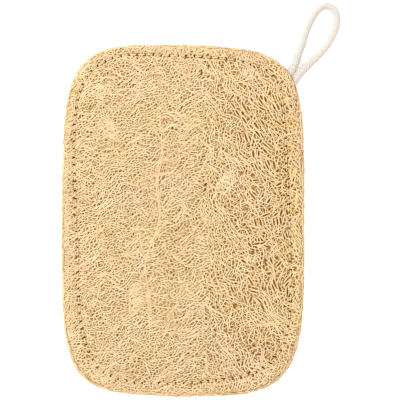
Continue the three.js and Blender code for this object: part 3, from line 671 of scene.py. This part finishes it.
def distance_to(hole, x, y):
    """How far points lie from a hole's middle line, and their offset from it."""
    offset_x, offset_y = x - hole.x, y - hole.y
    square = hole.half_x ** 2 + hole.half_y ** 2
    along = 0
    if square:
        along = np.clip((offset_x * hole.half_x + offset_y * hole.half_y) / square, -1, 1)
    offset_x, offset_y = offset_x - along * hole.half_x, offset_y - along * hole.half_y
    return np.hypot(offset_x, offset_y) + 1e-9, offset_x, offset_y


def clear_of_holes(x, y, holes):
    """Pushes points sideways out of the holes."""
    for hole in holes:
        away, offset_x, offset_y = distance_to(hole, x, y)
        push = np.maximum(hole.radius + HOLE_CLEARANCE - away, 0) / away
        x, y = x + push * offset_x, y + push * offset_y
    return x, y


def crosses_hole(x, y, holes):
    """Which of the straight runs from each point to the next pass over a hole."""
    crossing = np.zeros(np.diff(x).shape, dtype=bool)
    for share in (0.2, 0.5, 0.8):
        px, py = x[..., :-1] + share * np.diff(x), y[..., :-1] + share * np.diff(y)
        for hole in holes:
            crossing |= distance_to(hole, px, py)[0] < hole.radius
    return crossing


def keep_inside(x, y, least):
    """Draws points that lie too near the edge back in, towards the middle."""
    lack = np.maximum(least - inset_of(x, y), 0)
    reach = np.hypot(x, y) + 1e-9
    shrink = 1 - 1.35 * lack / reach
    return x * shrink, y * shrink


def cut_at_edge(xs, ys, least):
    """Shortens the paths that run over the cut edge, so that they end at it."""
    share = np.linspace(0, 1, xs.shape[1])
    fine = np.linspace(0, 1, CUT_SAMPLES)
    for index in np.flatnonzero((inset_of(xs, ys) < least).any(axis=1)):
        x, y = np.interp(fine, share, xs[index]), np.interp(fine, share, ys[index])
        inside = fine[inset_of(x, y) >= least]
        if len(inside) > 1:
            kept = np.linspace(inside.min(), inside.max(), len(share))
            xs[index], ys[index] = np.interp(kept, fine, x), np.interp(kept, fine, y)
    return keep_inside(xs, ys, least)


# Nets

def knot_neighbours(cells, inside):
    """The knots next to each one: those of the cells that share a side with its own."""
    sides = {}
    for index in np.flatnonzero(inside):
        a, b, c = cells[index]
        for side in ((a, b), (b, c), (c, a)):
            sides.setdefault((min(side), max(side)), []).append(index)
    neighbours = {index: [] for index in np.flatnonzero(inside)}
    for pair in sides.values():
        if len(pair) == 2:
            neighbours[pair[0]].append(pair[1])
            neighbours[pair[1]].append(pair[0])
    return neighbours


def straightest_pairs(knots, neighbours):
    """The two neighbours that a strand runs between at each knot, chosen as straight as can be."""
    through = {}
    for index, near in neighbours.items():
        best = LEAST_STRAIGHTNESS
        for first, second in ((0, 1), (1, 2), (0, 2)):
            if max(first, second) < len(near):
                one, two = knots[near[first]] - knots[index], knots[near[second]] - knots[index]
                one, two = one / np.linalg.norm(one), two / np.linalg.norm(two)
                straight = -one @ two + ALONG_WEIGHT * (abs(one[0]) + abs(two[0]))
                if straight > best:
                    best = straight
                    through[index] = (near[first], near[second])
    return through


def net_patch(random, reach, spacing, stretch):
    """One patch of net about the origin: strands that run along x, with shorter ones between them.

    Returns the knots' places and the strands, each as a list of knots.
    """
    along, across = spacing / math.sqrt(stretch), spacing * math.sqrt(stretch)
    columns, rows = int(reach[0] / along) + 2, int(reach[1] / across) + 2
    column, row = np.meshgrid(np.arange(-columns, columns + 1), np.arange(-rows, rows + 1))
    column, row = column.ravel().astype(float), row.ravel().astype(float)
    x = column + 0.5 * (np.abs(row) % 2) + random.normal(0, KNOT_JITTER, len(column))
    y = row + random.normal(0, KNOT_JITTER, len(row))
    seeds = [Vector((a, b)) for a, b in zip(x, ROW_HEIGHT * y)]
    corners, _, cells, *_ = delaunay_2d_cdt(seeds, [], [], 0, 1e-6)
    corners = np.array([corner[:] for corner in corners]) * (along, across / ROW_HEIGHT)
    cells = np.array([cell[:] for cell in cells])
    knots = corners[cells].mean(axis=1)
    bearing = np.arctan2(knots[:, 1], knots[:, 0])
    border = 1 + 0.12 * np.sin(2 * bearing + 6 * random.random()) + 0.1 * np.sin(5 * bearing)
    extent = np.maximum(np.abs(knots[:, 0]) / reach[0], np.abs(knots[:, 1]) / reach[1])
    neighbours = knot_neighbours(cells, extent < border)
    through = straightest_pairs(knots, neighbours)
    middle = np.array(list(through))
    before = np.array([pair[0] for pair in through.values()])
    after = np.array([pair[1] for pair in through.values()])
    for _ in range(SMOOTHING_ROUNDS):
        knots[middle] = 0.45 * knots[middle] + 0.275 * (knots[before] + knots[after])
    return knots, follow_strands(neighbours, through)


def follow_strands(neighbours, through):
    """Walks the net from knot to knot, straight through each one that a strand runs through."""
    strands = []
    walked = set()
    links = [(index, other) for index, near in neighbours.items() for other in near]
    ends = [link for link in links if link[1] not in through.get(link[0], ())]
    for start, following in ends + links:
        if (start, following) in walked:
            continue
        strand = [start, following]
        while len(strand) < LONGEST_STRAND:
            pair = through.get(strand[-1], ())
            if strand[-2] not in pair:
                break
            ahead = pair[1] if pair[0] == strand[-2] else pair[0]
            if (strand[-1], ahead) in walked:
                break
            strand.append(ahead)
        walked.update(zip(strand, strand[1:]))
        walked.update(zip(strand[1:], strand))
        strands.append(strand)
    return strands


def pass_strands(groups, random, x, y, sink, strands, radius, tone, holes, span=(-1, 1)):
    """Sorts a net's strands by their length, with a thickness and a tone for each.

    span: the least and greatest x that they may reach.
    """
    x, y = clear_of_holes(x, y, holes)
    wander = 0.003 * np.sin(y / 0.0034) * np.sin(y / 0.0081 + 1)
    past_span = (x + wander < min(span)) | (x + wander > max(span))
    outside = (inset_of(x, y) < EDGE_MARGIN) | past_span
    whole = [strand for strand in strands
             if not outside[strand].all() and random.random() > DROPPED_SHARE]
    if not whole:
        return
    order = np.concatenate(whole)
    crossing = crosses_hole(x[order], y[order], holes) | outside[order[:-1]] | outside[order[1:]]
    start = 0
    for strand in whole:
        cuts = np.flatnonzero(crossing[start:start + len(strand) - 1]) + 1
        start += len(strand)
        for part in np.split(np.array(strand), cuts):
            if len(part) < 2:
                continue
            points = np.stack((x[part], y[part], sink[part]), axis=1)
            stouter = min(0.88 + 0.05 * (len(part) - 2), 1.1)
            size = radius[part].mean() * random.uniform(0.85, 1.15) * stouter
            if len(part) == 2:
                points[:, 2] += 0.00005
            shade = tone[part].mean() + random.normal(0, 0.2)
            groups.setdefault(len(part), []).append((points, size, min(max(shade, 0), 1)))


def lay_strands(groups, layer):
    """Sets the strands on the layer, those of one length at a time."""
    for rings, group in sorted(groups.items()):
        points = np.stack([part[0] for part in group])
        size = np.array([part[1] for part in group])
        tone = np.array([part[2] for part in group])
        x, y = points[..., 0], points[..., 1]
        height = surface_height(x, y, layer) - points[..., 2] - size[:, None]
        height = height + STRAND_WEAVE * np.sin(900 * x + 5 * tone[:, None]) * np.sin(1100 * y)
        z = layer["face"] + layer["side"] * np.maximum(height, LEAST_HEIGHT)
        taper = 1 - 0.12 * np.linspace(-1, 1, rings) ** 8
        yield np.stack((x, y, z), axis=2), size[:, None] * taper[None, :], tone


def whole_net(layer, random, heading, spacing, stretch, level, radius, holes, span):
    """A net that runs over the layer and wanders as it goes. level: depth below the surface."""
    heading = math.radians(heading) * layer["side"]
    cos, sin = math.cos(heading), math.sin(heading)
    reach_x = 0.53 * (PAD_WIDTH * abs(cos) + PAD_LENGTH * abs(sin))
    reach_y = 0.53 * (PAD_WIDTH * abs(sin) + PAD_LENGTH * abs(cos))
    knots, strands = net_patch(random, (1.15 * reach_x, 1.15 * reach_y), spacing, stretch)
    u, v = knots[:, 0] * cos - knots[:, 1] * sin, knots[:, 0] * sin + knots[:, 1] * cos
    turns = random.uniform(0, 6, 6)
    x = (u + NET_SWAY * np.sin(v / 0.0047 + u / 0.013 + turns[0])
         + 0.6 * NET_SWAY * np.sin(v / 0.0016 - u / 0.0042 + turns[1]))
    y = (v + NET_SWAY * np.sin(u / 0.0044 - v / 0.012 + turns[2])
         + 0.6 * NET_SWAY * np.sin(u / 0.0017 + v / 0.0045 + turns[3]))
    open_side = x * layer["side"] - OPEN_FROM_X
    x = 0.94 * x + 0.3 * layer["side"] * 0.004 * np.logaddexp(0, open_side / 0.004)
    ripple = np.sin(x / 0.0031 + turns[4]) * np.sin(y / 0.0037 + turns[5])
    coarse = coarseness(x, y, layer)
    sink = level * (0.6 + 0.8 * coarse) + 0.00008 * (1 + ripple)
    tone = 0.5 + 0.12 * np.sin(x / 0.0043 + turns[0]) * np.sin(y / 0.0057 + turns[1])
    groups = {}
    span = [layer["side"] * limit for limit in span]
    radius = radius * (0.84 + 0.42 * coarse)
    pass_strands(groups, random, x, y, sink, strands, radius, tone, holes, span)
    return lay_strands(groups, layer)


def net_patches(layer, random, holes):
    """Patches of net on top, their strands along the layer's main direction."""
    pitch, reach = PATCHES["pitch"], PATCHES["reach"]
    columns, rows = int(PAD_WIDTH / pitch) + 1, int(PAD_LENGTH / pitch) + 1
    groups = {}
    for column in range(columns + 1):
        for row in range(rows + 1):
            if random.random() > PATCHES["share"]:
                continue
            x0 = (column + random.uniform(-0.4, 0.4) - columns / 2) * PAD_WIDTH / columns
            y0 = (row + random.uniform(-0.4, 0.4) - rows / 2) * PAD_LENGTH / rows
            coarse = float(coarseness(x0, y0, layer))
            angle = float(vein_angle(x0, y0, layer)) + random.normal(0, 0.12 + 0.5 * (1 - coarse))
            size = reach * random.uniform(0.7, 1.2, 2) * (1.1, 0.9)
            spacing, stretch = PATCHES["spacing"] * (0.9 + 0.2 * coarse), 1.3 + 0.8 * coarse
            knots, strands = net_patch(random, size, spacing, stretch)
            u, v = knots[:, 0], knots[:, 1] + random.normal(0, 14) * knots[:, 0] ** 2
            x = x0 + u * math.cos(angle) - v * math.sin(angle)
            y = y0 + u * math.sin(angle) + v * math.cos(angle)
            outness = np.clip(np.maximum(np.abs(u) / size[0], np.abs(v) / size[1]), 0, 1.2)
            sink = PATCHES["depth"] + 0.00028 * outness ** 3
            radius = np.full(len(x), PATCHES["radius"])
            tone = np.full(len(x), random.normal(0.55, 0.15))
            near = [hole for hole in holes if math.hypot(hole.x - x0, hole.y - y0) < 2 * reach]
            pass_strands(groups, random, x, y, sink, strands, radius, tone, near)
    return lay_strands(groups, layer)


# Single fibres

def fibre_looks(random, kind, count):
    """A radius, tone and depth below the surface for each of some fibres."""
    size = random.uniform(*kind["radii"], count)
    tone = np.clip(random.normal(*kind["tone"], count), 0, 1)
    return size, tone, random.uniform(*kind["depths"], count)[:, None]


def finish_fibres(layer, random, xs, ys, size, tone, depth, holes):
    """Lays plan paths on the layer: heights, a slight weave, sunk ends and tapers."""
    xs, ys = cut_at_edge(xs, ys, EDGE_MARGIN)
    xs, ys = clear_of_holes(xs, ys, holes)
    share = np.linspace(0, 1, xs.shape[1])
    sunk = FIBRE_END_DIP * np.abs(2 * share - 1) ** 4
    turn = 1.5 * share[None, :] + random.random((len(size), 1))
    weave = FIBRE_WEAVE * np.sin(2 * math.pi * turn)
    height = surface_height(xs, ys, layer) - depth - size[:, None] - sunk + weave
    z = layer["face"] + layer["side"] * np.maximum(height, LEAST_HEIGHT)
    taper = 1 - 0.35 * np.abs(2 * share - 1) ** 3
    clear = ~crosses_hole(xs, ys, holes).any(axis=1)
    paths = np.stack((xs, ys, z), axis=2)
    return paths[clear], (size[:, None] * taper[None, :])[clear], tone[clear]


def long_fibres(layer, random, holes):
    """Long strands that run through the open part of the net, along its main direction."""
    count = LONG_FIBRES["count"]
    x = random.uniform(-0.1, 0.46, count) * PAD_WIDTH * layer["side"]
    y = random.uniform(-0.48, 0.46, count) * PAD_LENGTH
    keep = (inset_of(x, y) > INNER_FIELD) & (random.random(count) < coarseness(x, y, layer) + 0.1)
    x, y = x[keep], y[keep]
    step = random.uniform(0.005, 0.012, len(x)) / LONG_FIBRE_STEPS
    bend = random.normal(0, 0.25, len(x))
    xs, ys = [x], [y]
    for _ in range(LONG_FIBRE_STEPS):
        angle = vein_angle(x, y, layer) + bend
        x, y = x + step * np.cos(angle), y + step * np.sin(angle)
        xs.append(x)
        ys.append(y)
    looks = fibre_looks(random, LONG_FIBRES, len(x))
    return finish_fibres(layer, random, np.stack(xs, axis=1), np.stack(ys, axis=1), *looks, holes)


def vein_bundle(layer, random, line, strands, half_width, holes):
    """A few strands side by side along a line, which spread and close up again."""
    line = np.array(line)
    travelled = run_along(line)
    middle = points_at(np.linspace(0, travelled[-1], BUNDLE_RINGS), travelled, line)
    for _ in range(3):
        middle[1:-1] = 0.5 * middle[1:-1] + 0.25 * (middle[:-2] + middle[2:])
    run = np.gradient(middle, axis=0)
    run /= np.linalg.norm(run, axis=1, keepdims=True)
    offset = (np.linspace(-half_width, half_width, strands)[:, None]
              + random.normal(0, 0.0002, (strands, 1)))
    turn = np.linspace(0, 9, BUNDLE_RINGS)[None, :] + random.uniform(0, 2, (strands, 1))
    offset = offset * (0.7 + 0.5 * np.sin(turn))
    xs = middle[None, :, 0] - run[None, :, 1] * offset
    ys = middle[None, :, 1] + run[None, :, 0] * offset
    size = random.uniform(0.00021, 0.00026, strands)
    tone = np.clip(random.normal(0.38, 0.06, strands), 0, 1)
    turn = np.linspace(0, 16, BUNDLE_RINGS)[None, :] + 3 * random.random((strands, 1))
    depth = BUNDLE_DEPTH * (0.5 + 0.5 * np.sin(turn))
    return finish_fibres(layer, random, xs, ys, size, tone, depth, holes)


def slot_lips(layer, random):
    """The strands that part at a slot: one on each side of it."""
    share = np.linspace(-1, 1, SLOT_LIP_RINGS)
    slots = np.array(SLOTS) * (MM, MM, math.pi / 180, MM, MM)
    slots = np.repeat(slots, 2, axis=0)
    hand = np.tile((1, -1), len(SLOTS))
    size = random.uniform(0.0002, 0.00027, len(slots))
    reach = (slots[:, 3] / 2 + random.uniform(0.0006, 0.0013, len(slots)))[:, None] * share
    offset = (hand * (slots[:, 4] + size + 0.00004))[:, None] * (1.08 - 0.6 * share ** 2)
    cos, sin = np.cos(slots[:, 2])[:, None], np.sin(slots[:, 2])[:, None]
    xs = slots[:, 0][:, None] + reach * cos - offset * sin
    ys = slots[:, 1][:, None] + reach * sin + offset * cos
    tone = np.clip(random.normal(0.65, 0.12, len(slots)), 0, 1)
    return finish_fibres(layer, random, xs, ys, size, tone, 0.00002, ())


def loose_fibres(layer, random, holes):
    """Short curled fibres that lie on the felted part."""
    count = LOOSE_FIBRES["count"]
    x = random.uniform(-0.5, 0.5, count) * PAD_WIDTH
    y = random.uniform(-0.5, 0.5, count) * PAD_LENGTH
    keep = (inset_of(x, y) > INNER_FIELD) & (random.random(count) > coarseness(x, y, layer))
    x, y = x[keep], y[keep]
    angle = random.uniform(0, math.pi, len(x))
    curl = random.normal(0, 160, len(x))
    length = random.uniform(0.003, 0.007, len(x))
    paths = grow_paths(x, y, angle, curl, length, FIBRE_STEPS)
    looks = fibre_looks(random, LOOSE_FIBRES, len(x))
    return finish_fibres(layer, random, *paths, *looks, holes)


def rim_fibres(layer, random, holes):
    """Short pressed fibres of the rim, most of them slanting across it to the cut edge."""
    count = RIM_FIBRES["count"]
    places, outwards = outline_points(count)
    inset = random.uniform(0.0002, 0.0065, count)
    x = places[:, 0] - outwards[:, 0] * inset
    y = places[:, 1] - outwards[:, 1] * inset
    along = np.arctan2(outwards[:, 0], -outwards[:, 1])
    angle = along + np.repeat(random.normal(0, 1.0, count // 6 + 1), 6)[:count]
    length = random.uniform(0.002, 0.0055, count)
    curl = random.normal(0, 40, count)
    x, y = x - 0.5 * length * np.cos(angle), y - 0.5 * length * np.sin(angle)
    paths = grow_paths(x, y, angle, curl, length, FIBRE_STEPS)
    looks = fibre_looks(random, RIM_FIBRES, count)
    return finish_fibres(layer, random, *paths, *looks, holes)


def edge_fibres(layer, random):
    """Fibres of the cut edge, which lie along its side and slope a little."""
    one_each = (EDGE_FIBRES, 1)
    edge, outwards = outline_points(EDGE_FIBRE_SAMPLES)
    share = np.linspace(0, 1, EDGE_FIBRE_STEPS + 1)[None, :]
    across = np.linspace(-1, 1, EDGE_FIBRE_STEPS + 1)[None, :]
    start = random.integers(0, EDGE_FIBRE_SAMPLES, EDGE_FIBRES)
    length = random.integers(6, 16, EDGE_FIBRES)
    order = start[:, None] + np.rint(share * length[:, None]).astype(int)
    order = order % EDGE_FIBRE_SAMPLES
    height = random.uniform(0.0002, 0.0015, EDGE_FIBRES)[:, None]
    height = np.clip(height + across * random.normal(0, 0.00045, one_each), 0.00025, EDGE_FIBRE_TOP)
    inset = (EDGE_MARGIN + 0.0006 * np.clip(height / EDGE_FIBRE_TOP, 0, 1) ** 2
             + random.normal(0, 0.0001, one_each))
    turn = np.linspace(0, 5, EDGE_FIBRE_STEPS + 1)[None, :] + random.uniform(0, 6, one_each)
    place = edge[order] - outwards[order] * (inset + FIBRE_WEAVE * np.sin(turn))[..., None]
    z = layer["face"] + layer["side"] * height
    size = random.uniform(0.00018, 0.00026, one_each) * (1 - 0.4 * across ** 4)
    paths = np.concatenate((place, np.maximum(z, LOWEST_Z + 0.0002)[..., None]), axis=2)
    return paths, size, np.clip(random.normal(0.5, 0.15, EDGE_FIBRES), 0, 1)


# Layers

def mat_piece(layer, material):
    """The layer's matted inside: a closed body just under the fibres, with painted shade where
    deep.
    """
    bpy.ops.object.select_all(action="DESELECT")
    bpy.ops.mesh.primitive_grid_add(
        x_subdivisions=MAT_CELLS_ACROSS, y_subdivisions=MAT_CELLS_ALONG, size=2)
    mat = bpy.context.object
    mat.name = layer["name"] + "_mat"
    bpy.ops.object.mode_set(mode="EDIT")
    bpy.ops.mesh.select_all(action="SELECT")
    bpy.ops.mesh.extrude_region_move(TRANSFORM_OT_translate={"value": (0, 0, 1)})
    bpy.ops.object.mode_set(mode="OBJECT")
    mesh = mat.data
    corners = np.array([vertex.co[:] for vertex in mesh.vertices])
    x, y = mat_plan(corners[:, 0], corners[:, 1])
    inner, outer = mat_heights(x, y, layer)
    height = np.where(corners[:, 2] > 0.5, outer, inner)
    z = layer["face"] + layer["side"] * height
    mesh.vertices.foreach_set("co", np.stack((x, y, z), axis=1).ravel())
    if layer["side"] < 0:
        mesh.flip_normals()
    coarse = coarseness(x, y, layer)
    # Painted shade: darker the deeper the mat lies, and more so where the net is open
    sunk = (surface_height(x, y, layer) - height) / FULL_SHADE_DEPTH * (0.8 + 0.4 * coarse)
    dress(mesh, material, np.full(len(x), MAT_TONE), np.clip(sunk, 0, 1))
    mesh.update()
    return mat


def mat_plan(s, t):
    """The places of a square grid, from -1 to 1, drawn to the pad's outline."""
    reach = np.maximum(np.abs(s), np.abs(t))
    power = corner_power(s, t)
    norm = (np.abs(s) ** power + np.abs(t) ** power) ** (1 / power)
    round_off = np.where(norm > 0, reach / np.maximum(norm, 1e-9), 1)
    blend = smoothstep(reach, 0.0, 1.0)
    factor = 1 - blend + blend * round_off
    x, y = s * factor * PAD_WIDTH / 2, t * factor * PAD_LENGTH / 2
    stretch = 1 + edge_stray(x, y) / (np.hypot(x, y) + 0.001) * reach ** 4
    return keep_inside(x * MAT_SCALE * stretch, y * MAT_SCALE * stretch, 0.0004)


def mat_heights(x, y, layer):
    """Heights of the mat's inner face, hollowed by the cord's pocket, and of its outer face."""
    random = np.random.default_rng(layer["seed"])
    cover = (MAT_COVER + MAT_COVER_COARSE * coarseness(x, y, layer)
             + random.uniform(-MAT_ROUGHNESS, MAT_ROUGHNESS, len(x)))
    cover = cover * (0.35 + 0.65 * smoothstep(inset_of(x, y), 0.0005, 0.004))
    height = np.maximum(surface_height(x, y, layer) - cover, 0.00035)
    along, across = pocket_place(x, y)
    inward = np.maximum(across - POCKET_SPREAD / 2, 0) / POCKET_RADIUS
    inward = np.clip(1 - inward ** 2, 0, 1)
    pocket = POCKET_RADIUS * np.sqrt(inward) + layer["side"] * (POCKET_CENTRE_Z - layer["face"])
    inner = np.where(along < POCKET_LENGTH, np.maximum(pocket, 0) * (inward > 0), 0)
    return inner, np.maximum(height, inner + 0.00025)


def amber_zone(finish):
    """1 in the part beside the right edge where the fibres are ambered, 0 elsewhere."""
    parts = finish.nodes.new("ShaderNodeSeparateXYZ")
    finish.links.new(finish.place(), parts.inputs["Vector"])
    zone = finish.ramp(finish.noise(160, 3), 0.4, 0.8)
    for axis, low, high in AMBER_BORDERS:
        product = finish.nodes.new("ShaderNodeMath")
        product.operation = "MULTIPLY"
        finish.links.new(zone, product.inputs[0])
        finish.links.new(finish.ramp(parts.outputs[axis], low, high), product.inputs[1])
        zone = product.outputs["Value"]
    return zone


def loofah_material(layer):
    """Dried fibre: straw colour with redder and yellower patches, painted shade where it lies deep.
    """
    finish = Finish(layer["name"] + "_loofah", {"Roughness": 0.7, "Specular IOR Level": 0.15})
    mix, ramp, noise = finish.mix, finish.ramp, finish.noise
    depth, tone, grain = finish.attribute("depth"), finish.attribute("tone"), noise(2600, 3)
    straw = mix(ramp(noise(45, 2), 0.4, 0.62), STRAW, RED_STRAW)
    straw = mix(ramp(noise(28, 2), 0.5, 0.7), straw, YELLOW_STRAW)
    straw = mix(ramp(tone, 0.55, 0.9), straw, PALE_STRAW)
    straw = mix(ramp(tone, 0.1, 0.6), mix(0.5, straw, TAN), straw)
    if layer["side"] > 0:
        straw = mix(amber_zone(finish), straw, AMBER)
    # Painted shade: tan, then dark brown, as the depth attribute rises with depth, round holes and
    # at the cut edge
    shaded_straw = mix(ramp(depth, 0.17, 0.48), straw, PAINTED_SHADE_TAN)
    shaded_straw = mix(ramp(depth, 0.48, 0.95), shaded_straw, PAINTED_SHADOW_BROWN)
    finish.colour(mix(ramp(grain, 0.3, 0.75), mix(0.18, shaded_straw, GRAIN_BROWN), shaded_straw))
    finish.bump(grain, 0.25, 0.00005)
    return finish.material


def layer_holes(layer):
    """The needle holes of a layer and, on the front, its openings and slots."""
    holes = [Hole(*place, radius, 0, 0, NEEDLE_SHADE) for place, radius in zip(*stitch_holes())]
    if layer["side"] > 0:
        holes.extend(Hole(*opening, 0, 0, OPENING_SHADE) for opening in OPENINGS)
        for x, y, turn, length, half_width in SLOTS:
            direction = np.array((math.cos(math.radians(turn)), math.sin(math.radians(turn))))
            half = MM / 2 * length * direction
            holes.append(Hole(MM * x, MM * y, MM * half_width, *half, OPENING_SHADE))
    return holes


def add_layer(layer):
    material = loofah_material(layer)
    random = np.random.default_rng(LAYER_SEED + layer["seed"])
    holes = layer_holes(layer)
    in_front = layer["side"] > 0
    pieces = [mat_piece(layer, material)]
    for name, heading, spacing, stretch, level, radius, span in NETS:
        net = Bundle(layer["side"])
        spacing = spacing if in_front else BACK_NET_SCALE * spacing
        for strands in whole_net(
                layer, random, heading, spacing, stretch, level, radius, holes, span):
            net.add(*strands, sides=3)
        pieces.append(net.piece(layer["name"] + "_net_" + name, material, holes))
    patches = Bundle(layer["side"])
    for strands in net_patches(layer, random, holes):
        patches.add(*strands, sides=3)
    patches.add(*long_fibres(layer, random, holes), sides=3)
    patches.add(*loose_fibres(layer, random, holes), sides=3)
    if in_front:
        for line, strands, half_width in BUNDLES:
            bundle = vein_bundle(layer, random, line, strands, half_width, holes)
            patches.add(*bundle, sides=4)
        patches.add(*slot_lips(layer, random), sides=4)
    pieces.append(patches.piece(layer["name"] + "_net_patches", material, holes))
    rim = Bundle(layer["side"])
    rim.add(*rim_fibres(layer, random, holes), sides=3)
    rim.add(*edge_fibres(layer, random), sides=3)
    pieces.append(rim.piece(layer["name"] + "_rim", material, holes))
    for piece in pieces:
        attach(piece, BODY)
        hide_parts(layer["node"])


# Cord

def smooth_route(points, count):
    """A smooth curve through the route, as evenly spaced points, and its length."""
    route = np.array(points)
    padded = np.concatenate(([2 * route[0] - route[1]], route, [2 * route[-1] - route[-2]]))
    dense = []
    for k in range(1, len(padded) - 2):
        before, start, end, after = padded[k - 1:k + 3]
        for t in np.linspace(0, 1, ROUTE_SAMPLES, endpoint=False):
            dense.append(0.5 * (2 * start + (end - before) * t
                                + (2 * before - 5 * start + 4 * end - after) * t ** 2
                                + (3 * start - before - 3 * end + after) * t ** 3))
    dense.append(route[-1])
    dense = np.array(dense)
    travelled = run_along(dense)
    return points_at(np.linspace(0, travelled[-1], count), travelled, dense), travelled[-1]


def route_frames(path):
    """At each point of a path, the level direction across it and the one that rises from it."""
    tangent = np.gradient(path, axis=0)
    tangent /= np.linalg.norm(tangent, axis=1, keepdims=True)
    side = np.cross(tangent, UP)
    side /= np.linalg.norm(side, axis=1, keepdims=True)
    return side, np.cross(side, tangent)


def cord_material():
    finish = Finish("cotton_cord", {"Roughness": 0.85})
    lint = finish.noise(1800, 4)
    finish.colour(finish.colour_ramp(lint, (0.3, COTTON_SHADE), (0.7, COTTON)))
    finish.bump(lint, 0.3, 0.00006)
    return finish.material


def flattening(travelled, length):
    """How much the cord is pressed flat: where it goes in between the layers."""
    from_end = np.minimum(travelled, length - travelled)
    return 1 - smoothstep(from_end, FLAT_TO, ROUND_FROM)


def add_cord():
    """The loop: a core inside a braid of yarns that pass over and under each other."""
    path, length = smooth_route(CORD_ROUTE, CORD_RINGS)
    side, rise = route_frames(path)
    travelled = np.linspace(0, length, CORD_RINGS)
    flat = flattening(travelled, length)
    wide, thin = 1 + FLAT_WIDER * flat, 1 - FLAT_THINNER * flat
    bundle = Bundle()
    tone = np.array([0.5])
    core = np.full((1, CORD_RINGS), CORD_DIAMETER / 2 - CORE_COVER)
    bundle.add(path[None], core * thin, tone, sides=CORD_CORE_SIDES)
    turns = travelled / YARN_TURN_LENGTH
    for way in (1, -1):
        for yarn in range(YARNS_EACH_WAY):
            angle = 2 * math.pi * (yarn / YARNS_EACH_WAY + way * turns)
            over = way * np.cos(2 * math.pi * YARNS_EACH_WAY * turns + math.pi * yarn)
            radius = CORD_DIAMETER / 2 - YARN_RADIUS - YARN_DIP * (1 - over)
            line = (path + side * (np.cos(angle) * radius * wide)[:, None]
                    + rise * (np.sin(angle) * radius * thin)[:, None])
            bundle.add(line[None], np.full((1, CORD_RINGS), YARN_RADIUS), tone, sides=YARN_SIDES)
    cord = bundle.piece("cord", cord_material())
    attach(cord, BODY)
    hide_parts("hang_loop")
    [tuple(point) for point in path]


# Stitches

def stitch_holes():
    """Needle holes at an even pitch along the wandering row, and their radii."""
    edge, outwards = outline_points(SEAM_SAMPLES)
    line = edge - outwards * seam_inset(edge[:, 0], edge[:, 1])[:, None]
    line = np.concatenate((line, line[:1]))
    travelled = run_along(line)
    count = round(travelled[-1] / STITCH_PITCH)
    random = np.random.default_rng(STITCH_SEED)
    even = np.linspace(0, travelled[-1], count, endpoint=False)
    even = even + random.normal(0, STITCH_JITTER, count)
    return points_at(even, travelled, line), random.uniform(*HOLE_RADII, count)


def thread_material():
    """Straw-coloured thread, painted near black as shadow where it goes down into a needle hole."""
    finish = Finish("sewing_thread", {"Roughness": 0.8, "Specular IOR Level": 0.05})
    thread = finish.colour_ramp(finish.noise(1500, 2), (0, THREAD_SHADE), (1, THREAD))
    hole_shadow = finish.ramp(finish.attribute("depth"), 0.2, 0.36)
    finish.colour(finish.mix(hole_shadow, thread, PAINTED_HOLE_SHADOW))
    return finish.material


def add_stitches():
    """One stitch from each needle hole to the next, on both faces, and the thread down each."""
    holes, radii = stitch_holes()
    bundle = Bundle()
    tones = np.full(len(holes), 0.5)
    share = np.linspace(0, 1, STITCH_STEPS + 1)
    ends = np.roll(holes, -1, axis=0)
    for layer in (FRONT, BACK):
        plan = holes[:, None] * (1 - share)[None, :, None] + ends[:, None] * share[None, :, None]
        top = surface_height(plan[..., 0], plan[..., 1], layer)
        lift = -THREAD_SINK - THREAD_DIP * np.abs(2 * share - 1) ** 6
        z = layer["face"] + layer["side"] * (top + lift[None, :])
        paths = np.concatenate((plan, z[..., None]), axis=2)
        bundle.add(paths, np.full(paths.shape[:2], THREAD_RADIUS), tones, sides=5)
    # The thread down each hole nearly fills it, and its material paints it near black as the hole's
    # shadow
    x, y = holes[:, 0], holes[:, 1]
    tops = FRONT["face"] + surface_height(x, y, FRONT) - SHADOW_PLUG_DEPTH
    bottoms = BACK["face"] - surface_height(x, y, BACK) + SHADOW_PLUG_DEPTH
    heights = np.stack((tops, (tops + bottoms) / 2, bottoms), axis=1)
    through = np.concatenate((np.repeat(holes[:, None], 3, axis=1), heights[..., None]), axis=2)
    bundle.add(through, np.repeat(SHADOW_PLUG_FILL * radii[:, None], 3, axis=1), tones, sides=8)
    stitches = bundle.piece("stitches", thread_material())
    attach(stitches, BODY)
    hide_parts("seam_thread")


add_camera()
add_cord()
add_stage()
for layer in (FRONT, BACK):
    add_layer(layer)
add_stitches()
